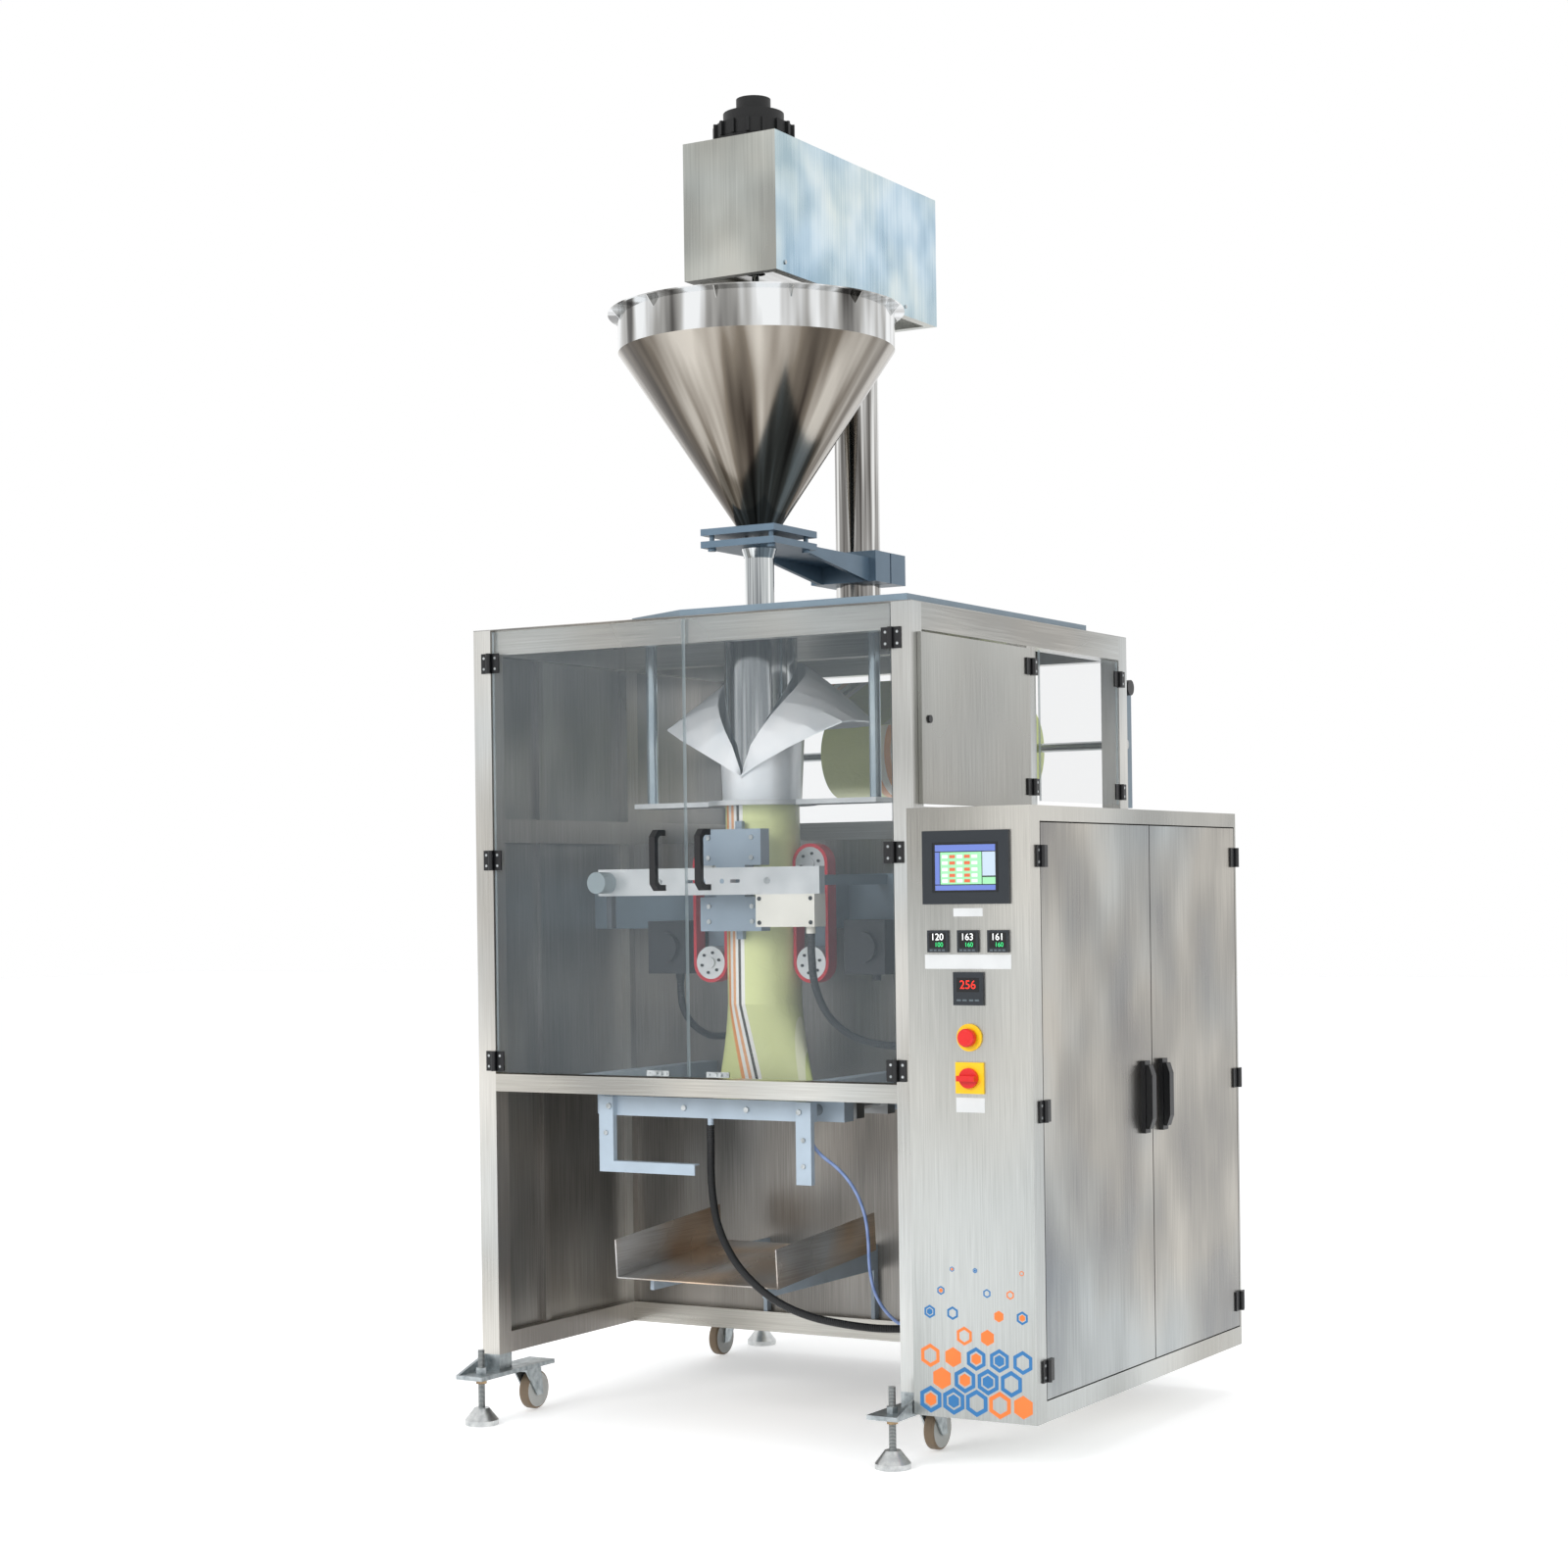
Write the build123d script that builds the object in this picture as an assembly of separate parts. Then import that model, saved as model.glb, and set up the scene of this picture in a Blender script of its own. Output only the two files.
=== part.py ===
"""Auger powder filler on a vertical form, fill and seal machine.

Millimetres. The front faces -Y, +X is to the right, +Z is up and the floor is at Z = 0.
X = 0 is the middle of the machine body and Y = 0 is the front face of its posts.
"""
import math
import os

from build123d import *

os.makedirs("parts", exist_ok=True)

# Body frame of square tube
body_width = 1200.0
body_depth = 1186.0
body_top = 1910.0
frame_bottom = 158.0
post_size = 50.0
tube_wall = 2.5
top_rail_height = 60.0
crossbar_bottom = 796.0
crossbar_height = 42.0
mid_rail_bottom = 1397.0
mid_rail_height = 58.0
bay_depth = 590.0
sheet_wall = 2.0
rib_width = 20.0
rib_depth = 12.0
rib_front = 214.0
rib_back = 236.0
overrun = 5.0
fit_gap = 0.05
free_gap = 0.5
seat_gap = 1.0
door_gap = 4.0

# Filler axis and film path
axis_y = 354.0
tube_radius = 89.0
tube_wall_thin = 2.0
tube_top = 1940.0
tube_bottom = 1010.0
film_gap = 0.3
film_thick = 1.0
web_gap = 3.0
sleeve_flat_top = 1000.0
sleeve_bottom = 802.0
sleeve_flat_width = 268.0
sleeve_flat_thick = 20.0

# Roof
roof_sheet = 2.0
roof_plate_thick = 15.0
roof_plate_left = 208.0
roof_plate_front = 2.0
roof_plate_margin = 10.0
roof_plate_back = 960.0
roof_chamfer_x = 202.0
roof_chamfer_y = 104.0

# Filler column, clamp and neck
column_y = 850.0
column_radius = 57.0
column_wall = 4.0
column_foot_radius = 95.0
column_foot_thick = 16.0
clamp_width = 190.0
clamp_depth = 160.0
clamp_bottom = 2056.0
clamp_top = 2134.0
clamp_slot = 6.0
arm_half_width = 75.0
arm_thick = 16.0
arm_web = 12.0
neck_plate_side = 206.0
neck_plate_thick = 16.0
neck_gap = 14.0
neck_bolt_radius = 6.0
neck_bolt_inset = 20.0
neck_head_radius = 10.0
neck_head_height = 7.0
neck_radius = 43.0
auger_tube_radius = 35.5
auger_tube_bottom = 1700.0
neck_taper_top = 2101.0
neck_taper_bottom = 2078.0

# Hopper
hopper_outlet_radius = 49.0
hopper_outlet_z = 2147.0
hopper_radius = 336.0
hopper_shoulder_z = 2578.0
hopper_rim_z = 2673.0
hopper_wall = 2.0
rim_radius = 360.0
rim_thick = 3.0
gusset_drop = 26.0
gusset_thick = 3.0
gusset_count = 12

# Auger and stirrer
shaft_radius = 9.0
shaft_bottom = 1692.0
flight_radius = 32.3
flight_thick = 3.0
flight_pitch = 62.0
flight_bottom = 1706.0
flight_turns = 8
stirrer_low = 2290.0
stirrer_high = 2560.0
stirrer_rod = 6.0
stirrer_gap = 30.0

# Drive box and motor
box_half_width = 129.0
box_front = 235.0
box_back = 1060.0
box_bottom = 2745.0
box_height = 332.0
box_wall = 3.0
box_lip = 22.0
box_floor_lift = 24.0
box_floor_thick = 8.0
gearbox_side = 130.0
gearbox_height = 140.0
coupling_radius = 24.0
coupling_height = 46.0
motor_base_radius = 92.0
motor_base_height = 16.0
motor_ring_radius = 100.0
motor_ring_height = 34.0
motor_rib_count = 16
motor_rib_depth = 7.0
motor_rib_width = 8.0
motor_body_radius = 74.0
motor_body_height = 30.0
motor_cap_radius = 42.0
motor_cap_height = 36.0

# Collar stand and forming collar
shelf_half_width = 340.0
shelf_front = 305.0
shelf_back = 405.0
shelf_bottom = 1478.0
shelf_thick = 12.0
shelf_disc_radius = 132.0
rod_x = 315.0
rod_y = 351.0
rod_radius = 14.0
collar_wall = 2.0
collar_gap = 4.0
collar_low_z = 1545.0
collar_rise = 285.0
collar_flare = 18.0
wing_span = 264.0
wing_back = 236.0
wing_tip_z = 1672.0
wing_bulge = 10.0
wing_throat = 8.0
wing_drop = 4.0
wing_growth_share = 1.25
wing_power_share = 1.3
wing_square_share = 0.6
edge_power_share = 0.7
collar_tolerance = 0.05
collar_rows = 5
collar_steps = 14
web_half_width = 280.0

# Belts
pulley_radius = 40.0
pulley_x = 142.0
pulley_low_z = 1098.0
pulley_high_z = 1336.0
belt_thick = 8.0
belt_width = 40.0
belt_slip_gap = 0.3
pulley_bore_land = 8.0
pulley_cap_radius = 13.0
pulley_cap_height = 5.0
belt_plate_half = 30.0
belt_plate_thick = 10.0
belt_plate_margin = 34.0
beam_y = 470.0
beam_thick = 12.0
beam_bottom = 1180.0
beam_top = 1310.0
gearbox_x = 224.0
belt_gearbox_width = 110.0
belt_gearbox_bottom = 1070.0
belt_gearbox_height = 130.0
belt_gearbox_depth = 120.0

# Vertical seal arm and sealer
arm_left = 325.0
arm_right = 290.0
arm_front = 120.0
arm_bar_thick = 25.0
arm_bar_bottom = 1264.0
arm_bar_height = 64.0
arm_slot_length = 26.0
arm_slot_height = 8.0
arm_slot_x = 62.0
knob_radius = 26.0
knob_length = 48.0
knob_inset = 26.0
lever_width = 14.0
lever_length = 78.0
standoff_side = 24.0
sealer_half_width = 85.0
sealer_front = 200.0
sealer_thick = 40.0
sealer_bottom = 1177.0
sealer_low_top = 1258.0
sealer_high_bottom = 1334.0
sealer_top = 1420.0
sealer_spine_half = 40.0
sealer_travel = 9.0
seal_bar_half = 9.0
seal_bar_margin = 20.0
seal_gap = 0.8
guide_pin_radius = 6.0
guide_pin_x = 26.0

# Junction box under the seal arm
junction_left = 119.0
junction_right = 277.0
junction_front = 118.0
junction_depth = 52.0
junction_height = 76.0
junction_lid = 8.0
junction_screw_radius = 4.0
junction_screw_inset = 10.0
gland_radius = 11.0
gland_length = 16.0

# Jaws
yoke_front = 78.0
yoke_thick = 14.0
yoke_half_width = 292.0
yoke_bar_bottom = 741.0
yoke_bar_top = 787.0
yoke_leg_width = 40.0
yoke_leg_thick = 16.0
yoke_leg_low_left = 633.0
yoke_leg_low_right = 597.0
jaw_shaft_x = 272.0
jaw_shaft_z = 765.0
jaw_shaft_radius = 14.0
jaw_shaft_margin = 2.0
jaw_travel = 44.0
jaw_clearance = 1.0
jaw_depth = 50.0
jaw_bottom = 735.0
jaw_top = 790.0
jaw_half_width = 200.0
lug_half_width = 31.0
knife_half_width = 150.0
knife_thick = 2.0
cylinder_radius = 26.0
cylinder_length = 104.0
rear_cylinder_gap = 62.0
piston_radius = 8.0
guide_bar_half = 20.0
guide_bar_x = 322.0
bearing_front = 130.0
bearing_back = 500.0
bearing_length = 44.0
bearing_inner = 241.0
bearing_bottom = 738.0
cable_bar_length = 268.0
cable_bar_height = 26.0
cable_bar_depth = 22.0

# Discharge chute
chute_half_width = 222.0
chute_front = 25.0
chute_length = 470.0
chute_floor_z = 360.0
chute_wall_height = 92.0
chute_sheet = 3.0
chute_slope = 4.3
chute_bracket_x = 150.0
chute_bracket_thick = 10.0
chute_bracket_drop = 34.0

# Feet and casters
foot_plate_thick = 10.0
foot_plate_bottom = 112.0
foot_plate_margin = 2.0
foot_plate_width = 76.0
foot_plate_front = 110.0
foot_plate_reach = 190.0
foot_inset = 40.0
foot_front = 60.0
stud_radius = 8.0
stud_spare = 18.0
foot_pad_radius = 40.0
foot_pad_waist = 18.0
foot_pad_height = 40.0
foot_pad_rim = 12.0
foot_nut_radius = 14.0
foot_nut_height = 14.0
foot_travel = 25.0
gusset_plate_thick = 8.0
caster_y = 128.0
caster_trail = 26.0
wheel_radius = 47.0
wheel_lift = 3.0
wheel_width = 26.0
wheel_axle_radius = 6.0
wheel_hub_radius = 12.0
fork_thick = 4.0
fork_gap = 3.0
fork_half_length = 30.0
fork_top_thick = 5.0
swivel_gap = 1.0
swivel_radius = 24.0
swivel_height = 5.0

# Cabinet
cabinet_width = 299.0
cabinet_front = 33.0
cabinet_back = 1165.0
cabinet_bottom = 117.0
cabinet_drop = 5.0
cabinet_wall = 3.0
cabinet_door_front = 19.0
cabinet_door_back = 1152.0
cabinet_door_join = 615.0
cabinet_door_bottom = 165.0
cabinet_door_margin = 37.0
cabinet_door_depth = 19.0
door_sheet = 2.0
lock_base_width = 30.0
lock_base_height = 168.0
lock_base_depth = 11.0
lock_base_bottom = 697.0
lock_base_inset = 52.0
lock_lever_width = 24.0
lock_lever_depth = 16.0
lock_lever_margin = 10.0
lever_pin_radius = 4.0
cabinet_hinge_heights = [204.0, 764.0, 1316.0]
cabinet_pivot_out = 6.0
cabinet_pivot_shift = 2.0
screen_left = 641.0
screen_width = 210.0
screen_bottom = 1238.0
screen_height = 160.0
instrument_depth = 7.0
controller_width = 50.0
controller_height = 48.0
controller_bottom = 1133.0
controller_pitch = 73.0
counter_side = 72.0
counter_bottom = 1018.0
switch_x = 749.0
stop_z = 948.0
stop_ring_radius = 30.0
stop_ring_depth = 5.0
stop_stem_radius = 12.0
stop_head_radius = 20.0
stop_head_depth = 16.0
stop_travel = 4.0
switch_z = 860.0
switch_plate_side = 68.0
switch_disc_radius = 22.0
switch_disc_depth = 8.0
switch_grip_width = 12.0
switch_grip_depth = 14.0
mount_plate_gap = 12.0
mount_plate_inset = 90.0
unit_depth = 130.0
unit_rows = 3
unit_columns = 4
unit_width_shares = [0.7, 0.6, 0.8]
unit_height_shares = [0.6, 0.45, 0.55, 0.4]
unit_depth_shares = [1.0, 0.8, 0.5]

# Front doors
front_door_thick = 8.0
front_door_bottom = 842.0
front_door_top = 1906.0
front_door_lap = 2.0
handle_x = 62.0
handle_bottom = 1275.0
handle_length = 142.0
handle_width = 16.0
handle_reach = 46.0
handle_grip = 14.0
hinge_heights = [845.0, 1330.0, 1806.0]
hinge_length = 48.0
knuckle_radius = 6.0
leaf_thick = 4.0
leaf_width = 24.0
hinge_nip = 2.0
front_pivot_shift = 1.0
front_pivot_out = 8.0

# Side doors
side_door_front = 27.0
side_door_back = 586.0
side_door_bottom = 1461.0
side_door_top = 1843.0
side_door_depth = 10.0
clear_door_front = 650.0
clear_door_back = 1112.0
clear_door_bottom = 1480.0
clear_door_thick = 6.0
side_hinge_heights = [1492.0, 1780.0]
side_hinge_length = 40.0
lock_radius = 9.0
lock_z = 1650.0
lock_inset = 36.0

# Film reel and rollers
reel_y = 1250.0
reel_z = 1640.0
reel_radius = 120.0
reel_core_radius = 40.0
reel_half_width = 278.0
reel_shaft_radius = 12.0
reel_plate_x = 560.0
reel_plate_thick = 12.0
reel_plate_bottom = 1475.0
reel_plate_top = 1806.0
reel_plate_reach = 92.0
reel_knob_radius = 20.0
roller_y = 920.0
roller_z = 1790.0
roller_radius = 20.0
roller_half_width = 290.0
roller_pin_radius = 8.0
hanger_thick = 10.0
hanger_half_depth = 22.0

# Hoses and tubes; each route is a list of points from one gland to the other
hose_radius = 9.0
conduit_radius = 9.0
air_tube_radius = 4.0
air_gland_radius = 6.0
cord_share = 0.45
hose_right_route = [(252, 144, 1172), (252, 144, 1112), (256, 151, 1046), (276, 168, 982), (318, 196, 934),
                    (378, 232, 910), (440, 266, 908), (500, 288, 922), (559, 288, 922)]
hose_left_route = [(-279, 410, 1054), (-279, 410, 1005), (-277, 425, 969), (-271, 453, 938),
                   (-263, 491, 916), (-258, 536, 904), (-258, 599, 904)]
conduit_route = [(8, 85, 725), (8, 85, 672), (10, 80, 616), (20, 70, 560), (42, 50, 506), (78, 28, 456),
                 (125, 10, 408), (182, 2, 364), (245, 4, 328), (310, 24, 302), (376, 58, 286),
                 (440, 98, 275), (500, 128, 275), (559, 128, 275)]
air_tube_route = [(276, 85, 731), (276, 85, 696), (298, 96, 663), (334, 114, 634), (366, 132, 588),
                  (384, 148, 528), (385, 160, 466), (380, 170, 402), (386, 182, 340), (412, 198, 290),
                  (452, 216, 258), (506, 224, 248), (559, 224, 248)]

half_width = body_width / 2
foot_plate_outer = half_width - foot_plate_margin
foot_plate_inner = foot_plate_outer - foot_plate_width
foot_x = half_width - foot_inset
jaw_shaft_end = bay_depth - jaw_shaft_margin
jaw_half_gap = jaw_travel + jaw_clearance
stud_top = foot_plate_bottom + foot_plate_thick + foot_nut_height + foot_travel + stud_spare
inner_x = half_width - post_size
rail_top_z = body_top - top_rail_height
cabinet_x = half_width + cabinet_width
cabinet_top = mid_rail_bottom + mid_rail_height - cabinet_drop
cabinet_door_top = cabinet_top - cabinet_door_margin
box_top = box_bottom + box_height
roof_plate_right = half_width - roof_plate_margin
roof_z = body_top + roof_sheet
plate_z = roof_z + roof_plate_thick
sleeve_in = tube_radius + film_gap
sleeve_out = sleeve_in + film_thick
collar_in = sleeve_out + collar_gap
shelf_top = shelf_bottom + shelf_thick
wall_y = bay_depth + post_size / 2
rear_cylinder_front = axis_y + jaw_half_gap + jaw_depth + rear_cylinder_gap
neck_low_bottom = neck_taper_top
neck_low_top = neck_low_bottom + neck_plate_thick
neck_high_bottom = neck_low_top + neck_gap
front_pivot_x = inner_x + front_pivot_shift
front_pivot_y = -front_pivot_out
cabinet_pivot_x = cabinet_x + cabinet_pivot_out
cabinet_pivot_front = cabinet_door_front - cabinet_pivot_shift
cabinet_pivot_back = cabinet_door_back + cabinet_pivot_shift
side_gland_x = half_width - post_size / 2 - gland_length
wall_gland_y = wall_y - gland_length
lever_reach = lock_base_depth + free_gap + lock_lever_depth
footprint_x = (cabinet_x + lever_reach - half_width) / 2
footprint_y = (reel_y + reel_radius - foot_plate_front) / 2


def block(x0, x1, y0, y1, z0, z1):
    """A box between two corners."""
    middle = ((x0 + x1) / 2, (y0 + y1) / 2, (z0 + z1) / 2)
    return Pos(*middle) * Box(abs(x1 - x0), abs(y1 - y0), abs(z1 - z0))


def rod_up(x, y, z0, z1, radius):
    """A cylinder along Z."""
    return Pos(x, y, (z0 + z1) / 2) * Cylinder(radius, z1 - z0)


def rod_back(x, z, y0, y1, radius):
    """A cylinder along Y."""
    return Pos(x, (y0 + y1) / 2, z) * Rot(90, 0, 0) * Cylinder(radius, y1 - y0)


def rod_right(y, z, x0, x1, radius):
    """A cylinder along X."""
    return Pos((x0 + x1) / 2, y, z) * Rot(0, 90, 0) * Cylinder(radius, x1 - x0)


def square_tube(x0, x1, y0, y1, z0, z1):
    """A square tube between two corners, hollow along its longest side."""
    spans = [x1 - x0, y1 - y0, z1 - z0]
    longest = spans.index(max(spans))
    ends = [[x0, x1], [y0, y1], [z0, z1]]
    for axis in range(len(ends)):
        grow = overrun if axis == longest else -tube_wall
        ends[axis] = [ends[axis][0] - grow, ends[axis][1] + grow]
    bore = block(*ends[0], *ends[1], *ends[2])
    return block(x0, x1, y0, y1, z0, z1) - bore


def both_sides(shape):
    """The shape and its mirror image about X = 0."""
    return [shape, mirror(shape, about=Plane.YZ)]


def reaching(route, axis, end):
    """A hose's route, stretched along one axis so that its last point meets the gland's end."""
    start = route[0][axis]
    share = (end - start) / (route[-1][axis] - start)
    moved = []
    for point in route:
        place = list(point)
        place[axis] = start + (point[axis] - start) * share
        moved.append(tuple(place))
    return moved


def to_side(route):
    """A route that ends at a gland in the right side sheet."""
    return reaching(route, 0, side_gland_x)


def to_wall(route):
    """A route that ends at a gland in the wall behind the bay."""
    return reaching(route, 1, wall_gland_y)


def save(shapes, name):
    """Writes one node, with the origin moved to the middle of the machine's footprint."""
    if not isinstance(shapes, list):
        shapes = [shapes]
    to_footprint = Pos(-footprint_x, -footprint_y, 0)
    solids = [to_footprint * solid for shape in shapes for solid in shape.solids()]
    whole = solids[0] if len(solids) == 1 else Compound(children=solids)
    export_step(whole, f"parts/{name}.step")


def frame_posts():
    """Four corner posts, and the two middle posts in two lengths each."""
    posts = []
    for front in [0.0, body_depth - post_size]:
        tube = square_tube(inner_x, half_width, front, front + post_size, frame_bottom, body_top)
        posts += both_sides(tube)
    low = square_tube(inner_x, half_width, bay_depth, bay_depth + post_size,
                      frame_bottom + post_size, mid_rail_bottom)
    high = square_tube(inner_x, half_width, bay_depth, bay_depth + post_size,
                       mid_rail_bottom + mid_rail_height, rail_top_z)
    return posts + both_sides(low) + both_sides(high)


def frame_rails():
    """Side rails run between the corner posts, and cross rails between the sides."""
    back = body_depth - post_size
    rails = []
    levels = [(frame_bottom, frame_bottom + post_size),
              (mid_rail_bottom, mid_rail_bottom + mid_rail_height), (rail_top_z, body_top)]
    for low, high in levels:
        rails += both_sides(square_tube(inner_x, half_width, post_size, back, low, high))
        rails.append(square_tube(-inner_x, inner_x, back, body_depth, low, high))
    lap = front_door_lap + front_door_thick + door_gap
    rails.append(square_tube(-inner_x, inner_x, lap, post_size, rail_top_z, body_top))
    rails.append(square_tube(-inner_x, inner_x, bay_depth, wall_y + post_size / 2, rail_top_z, body_top))
    rails.append(square_tube(-inner_x, inner_x, bay_depth, wall_y + post_size / 2,
                             frame_bottom, frame_bottom + post_size))
    rails.append(square_tube(-inner_x, inner_x, 0.0, post_size, crossbar_bottom,
                             crossbar_bottom + crossbar_height))
    return rails


def frame_panels():
    """Sheet walls set in the frame, the wall behind the bay and the roof sheet."""
    side = half_width - post_size / 2
    low = frame_bottom + post_size
    panels = []
    for front, back in [(post_size, bay_depth), (bay_depth + post_size, body_depth - post_size)]:
        panels += both_sides(block(side, side + sheet_wall, front, back, low, mid_rail_bottom))
        panels.append(block(-side - sheet_wall, -side, front, back,
                            mid_rail_bottom + mid_rail_height, rail_top_z))
    wall_index = len(panels)
    panels.append(block(-inner_x, inner_x, wall_y, wall_y + sheet_wall, low, mid_rail_bottom))
    rear = body_depth - post_size / 2
    panels.append(block(-inner_x, inner_x, rear, rear + sheet_wall, low, mid_rail_bottom))
    for bottom, top in [(low, mid_rail_bottom), (mid_rail_bottom + mid_rail_height, rail_top_z)]:
        panels.append(block(-side, -side + rib_depth, rib_front, rib_back, bottom, top))
    for route in [hose_right_route, conduit_route, air_tube_route]:
        end = to_side(route)[-1]
        panels[0] += rod_right(end[1], end[2], end[0], side, gland_radius)
    end = to_wall(hose_left_route)[-1]
    panels[wall_index] += rod_back(end[0], end[2], end[1], wall_y, gland_radius)
    roof = block(-half_width, half_width, 0.0, body_depth, body_top, roof_z)
    panels.append(roof - rod_up(0.0, axis_y, body_top - overrun, roof_z + overrun, collar_in))
    return panels


def roof_plate():
    """Thick plate on the roof with one corner cut off, bored for the forming tube."""
    outline = Polyline((-roof_plate_left, roof_plate_front + roof_chamfer_y),
                       (roof_chamfer_x - roof_plate_left, roof_plate_front),
                       (roof_plate_right, roof_plate_front), (roof_plate_right, roof_plate_back),
                       (-roof_plate_left, roof_plate_back), close=True)
    plate = Pos(0, 0, roof_z) * extrude(make_face(outline), roof_plate_thick)
    return plate - rod_up(0.0, axis_y, roof_z - overrun, plate_z + overrun, tube_radius + fit_gap)


def filler_column():
    """Column with a foot flange and the head plate that carries the drive."""
    foot_top = plate_z + column_foot_thick
    head_z = box_bottom + box_floor_lift
    column = rod_up(0.0, column_y, plate_z, head_z, column_radius)
    column -= rod_up(0.0, column_y, foot_top, head_z + overrun, column_radius - column_wall)
    column += rod_up(0.0, column_y, plate_z, foot_top, column_foot_radius)
    inner = box_half_width - box_wall
    head = block(-inner, inner, box_front + box_wall, box_back - box_wall, head_z, head_z + box_floor_thick)
    head -= rod_up(0.0, axis_y, head_z - overrun, head_z + box_floor_thick + overrun, coupling_radius)
    return column + head


def column_clamp():
    """Split clamp on the column, and the arm that holds the neck plates."""
    front = column_y - clamp_depth / 2
    arm_end = axis_y - neck_plate_side / 2
    clamp = block(-clamp_width / 2, clamp_width / 2, front, front + clamp_depth, clamp_bottom, clamp_top)
    clamp -= rod_up(0.0, column_y, clamp_bottom - overrun, clamp_top + overrun, column_radius + fit_gap)
    clamp -= block(0.0, clamp_width, column_y - clamp_slot / 2, column_y + clamp_slot / 2,
                   clamp_bottom - overrun, clamp_top + overrun)
    plate = block(-arm_half_width, arm_half_width, axis_y, front, neck_low_bottom, neck_low_bottom + arm_thick)
    low = block(-neck_plate_side / 2, neck_plate_side / 2, arm_end, arm_end + neck_plate_side,
                neck_low_bottom, neck_low_top)
    arm = plate + low + clamp
    web = Polyline((axis_y + neck_plate_side / 2, neck_low_bottom), (front, neck_low_bottom),
                   (front, clamp_bottom), close=True)
    web_plate = extrude(Plane.YZ * make_face(web), arm_web)
    arm += Pos(-arm_half_width, 0, 0) * web_plate
    arm += Pos(arm_half_width - arm_web, 0, 0) * web_plate
    high = block(-neck_plate_side / 2, neck_plate_side / 2, arm_end, arm_end + neck_plate_side,
                 neck_high_bottom, neck_high_bottom + neck_plate_thick)
    bore = rod_up(0.0, axis_y, neck_low_bottom - overrun, hopper_outlet_z + overrun, neck_radius + fit_gap)
    solids = [arm - bore, high - bore]
    reach = neck_plate_side / 2 - neck_bolt_inset
    for x in [-reach, reach]:
        for y in [axis_y - reach, axis_y + reach]:
            bolt = rod_up(x, y, neck_low_bottom - neck_head_height, neck_low_bottom, neck_head_radius)
            bolt += rod_up(x, y, neck_low_top, neck_high_bottom, neck_bolt_radius)
            solids.append(bolt)
    return solids


def hopper():
    """Spun hopper: outlet, cone, short cylinder and flat rim, with gussets under the rim."""
    outer = [(hopper_outlet_radius, hopper_outlet_z), (hopper_radius, hopper_shoulder_z),
             (hopper_radius, hopper_rim_z - rim_thick), (rim_radius, hopper_rim_z - rim_thick),
             (rim_radius, hopper_rim_z)]
    inner = [(hopper_radius - hopper_wall, hopper_rim_z), (hopper_radius - hopper_wall, hopper_shoulder_z),
             (hopper_outlet_radius - hopper_wall, hopper_outlet_z)]
    profile = make_face(Polyline(*outer, *inner, close=True))
    shell = revolve(Plane.XZ * profile, Axis.Z)
    rib = make_face(Polyline((hopper_radius - hopper_wall / 2, hopper_rim_z - rim_thick),
                             (rim_radius - rim_thick, hopper_rim_z - rim_thick),
                             (hopper_radius - hopper_wall / 2, hopper_rim_z - rim_thick - gusset_drop),
                             close=True))
    gusset = extrude(Plane.XZ * rib, gusset_thick / 2, both=True)
    for turn in range(gusset_count):
        shell += Rot(0, 0, (turn + 0.5) * 360 / gusset_count) * gusset
    return Pos(0, axis_y, 0) * shell


def auger_tube():
    """Filling tube, wider where the neck plates hold it."""
    wall = tube_wall_thin
    top = neck_high_bottom + neck_plate_thick
    profile = make_face(Polyline(
        (auger_tube_radius, auger_tube_bottom), (auger_tube_radius, neck_taper_bottom),
        (neck_radius, neck_taper_top - fit_gap), (neck_radius, top),
        (auger_tube_radius - wall, top), (auger_tube_radius - wall, auger_tube_bottom), close=True))
    return Pos(0, axis_y, 0) * revolve(Plane.XZ * profile, Axis.Z)


def auger():
    """Shaft with a helical flight, and stirrer rods that follow the hopper wall."""
    top = box_bottom + box_floor_lift + box_floor_thick + coupling_height / 2
    shaft = rod_up(0.0, 0.0, shaft_bottom, top, shaft_radius)
    height = flight_pitch * flight_turns
    path = Pos(0, 0, flight_bottom) * Helix(pitch=flight_pitch, height=height, radius=shaft_radius)
    blade_width = flight_radius - shaft_radius + tube_wall_thin
    section = Plane(origin=path @ 0, x_dir=(1, 0, 0), z_dir=path % 0)
    blade = section * Pos(blade_width / 2 - tube_wall_thin, 0) * Rectangle(blade_width, flight_thick)
    flight = sweep(blade, path=path, is_frenet=True)
    slope = (hopper_radius - hopper_outlet_radius) / (hopper_shoulder_z - hopper_outlet_z)
    rods = []
    ends = []
    for level in [stirrer_low, stirrer_high]:
        ends.append(hopper_outlet_radius + slope * (level - hopper_outlet_z) - stirrer_gap)
    for side in [-1, 1]:
        line = Line((side * ends[0], 0, stirrer_low), (side * ends[1], 0, stirrer_high))
        foot = Plane(origin=line @ 0, z_dir=line % 0)
        rods.append(extrude(foot * Circle(stirrer_rod), line.length))
    cross = rod_right(0.0, stirrer_low, -ends[0], ends[0], stirrer_rod)
    bar = rod_right(0.0, stirrer_high, -ends[1], ends[1], stirrer_rod)
    whole = shaft + flight + cross + bar + rods[0] + rods[1]
    return Pos(0, axis_y, 0) * whole


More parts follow.
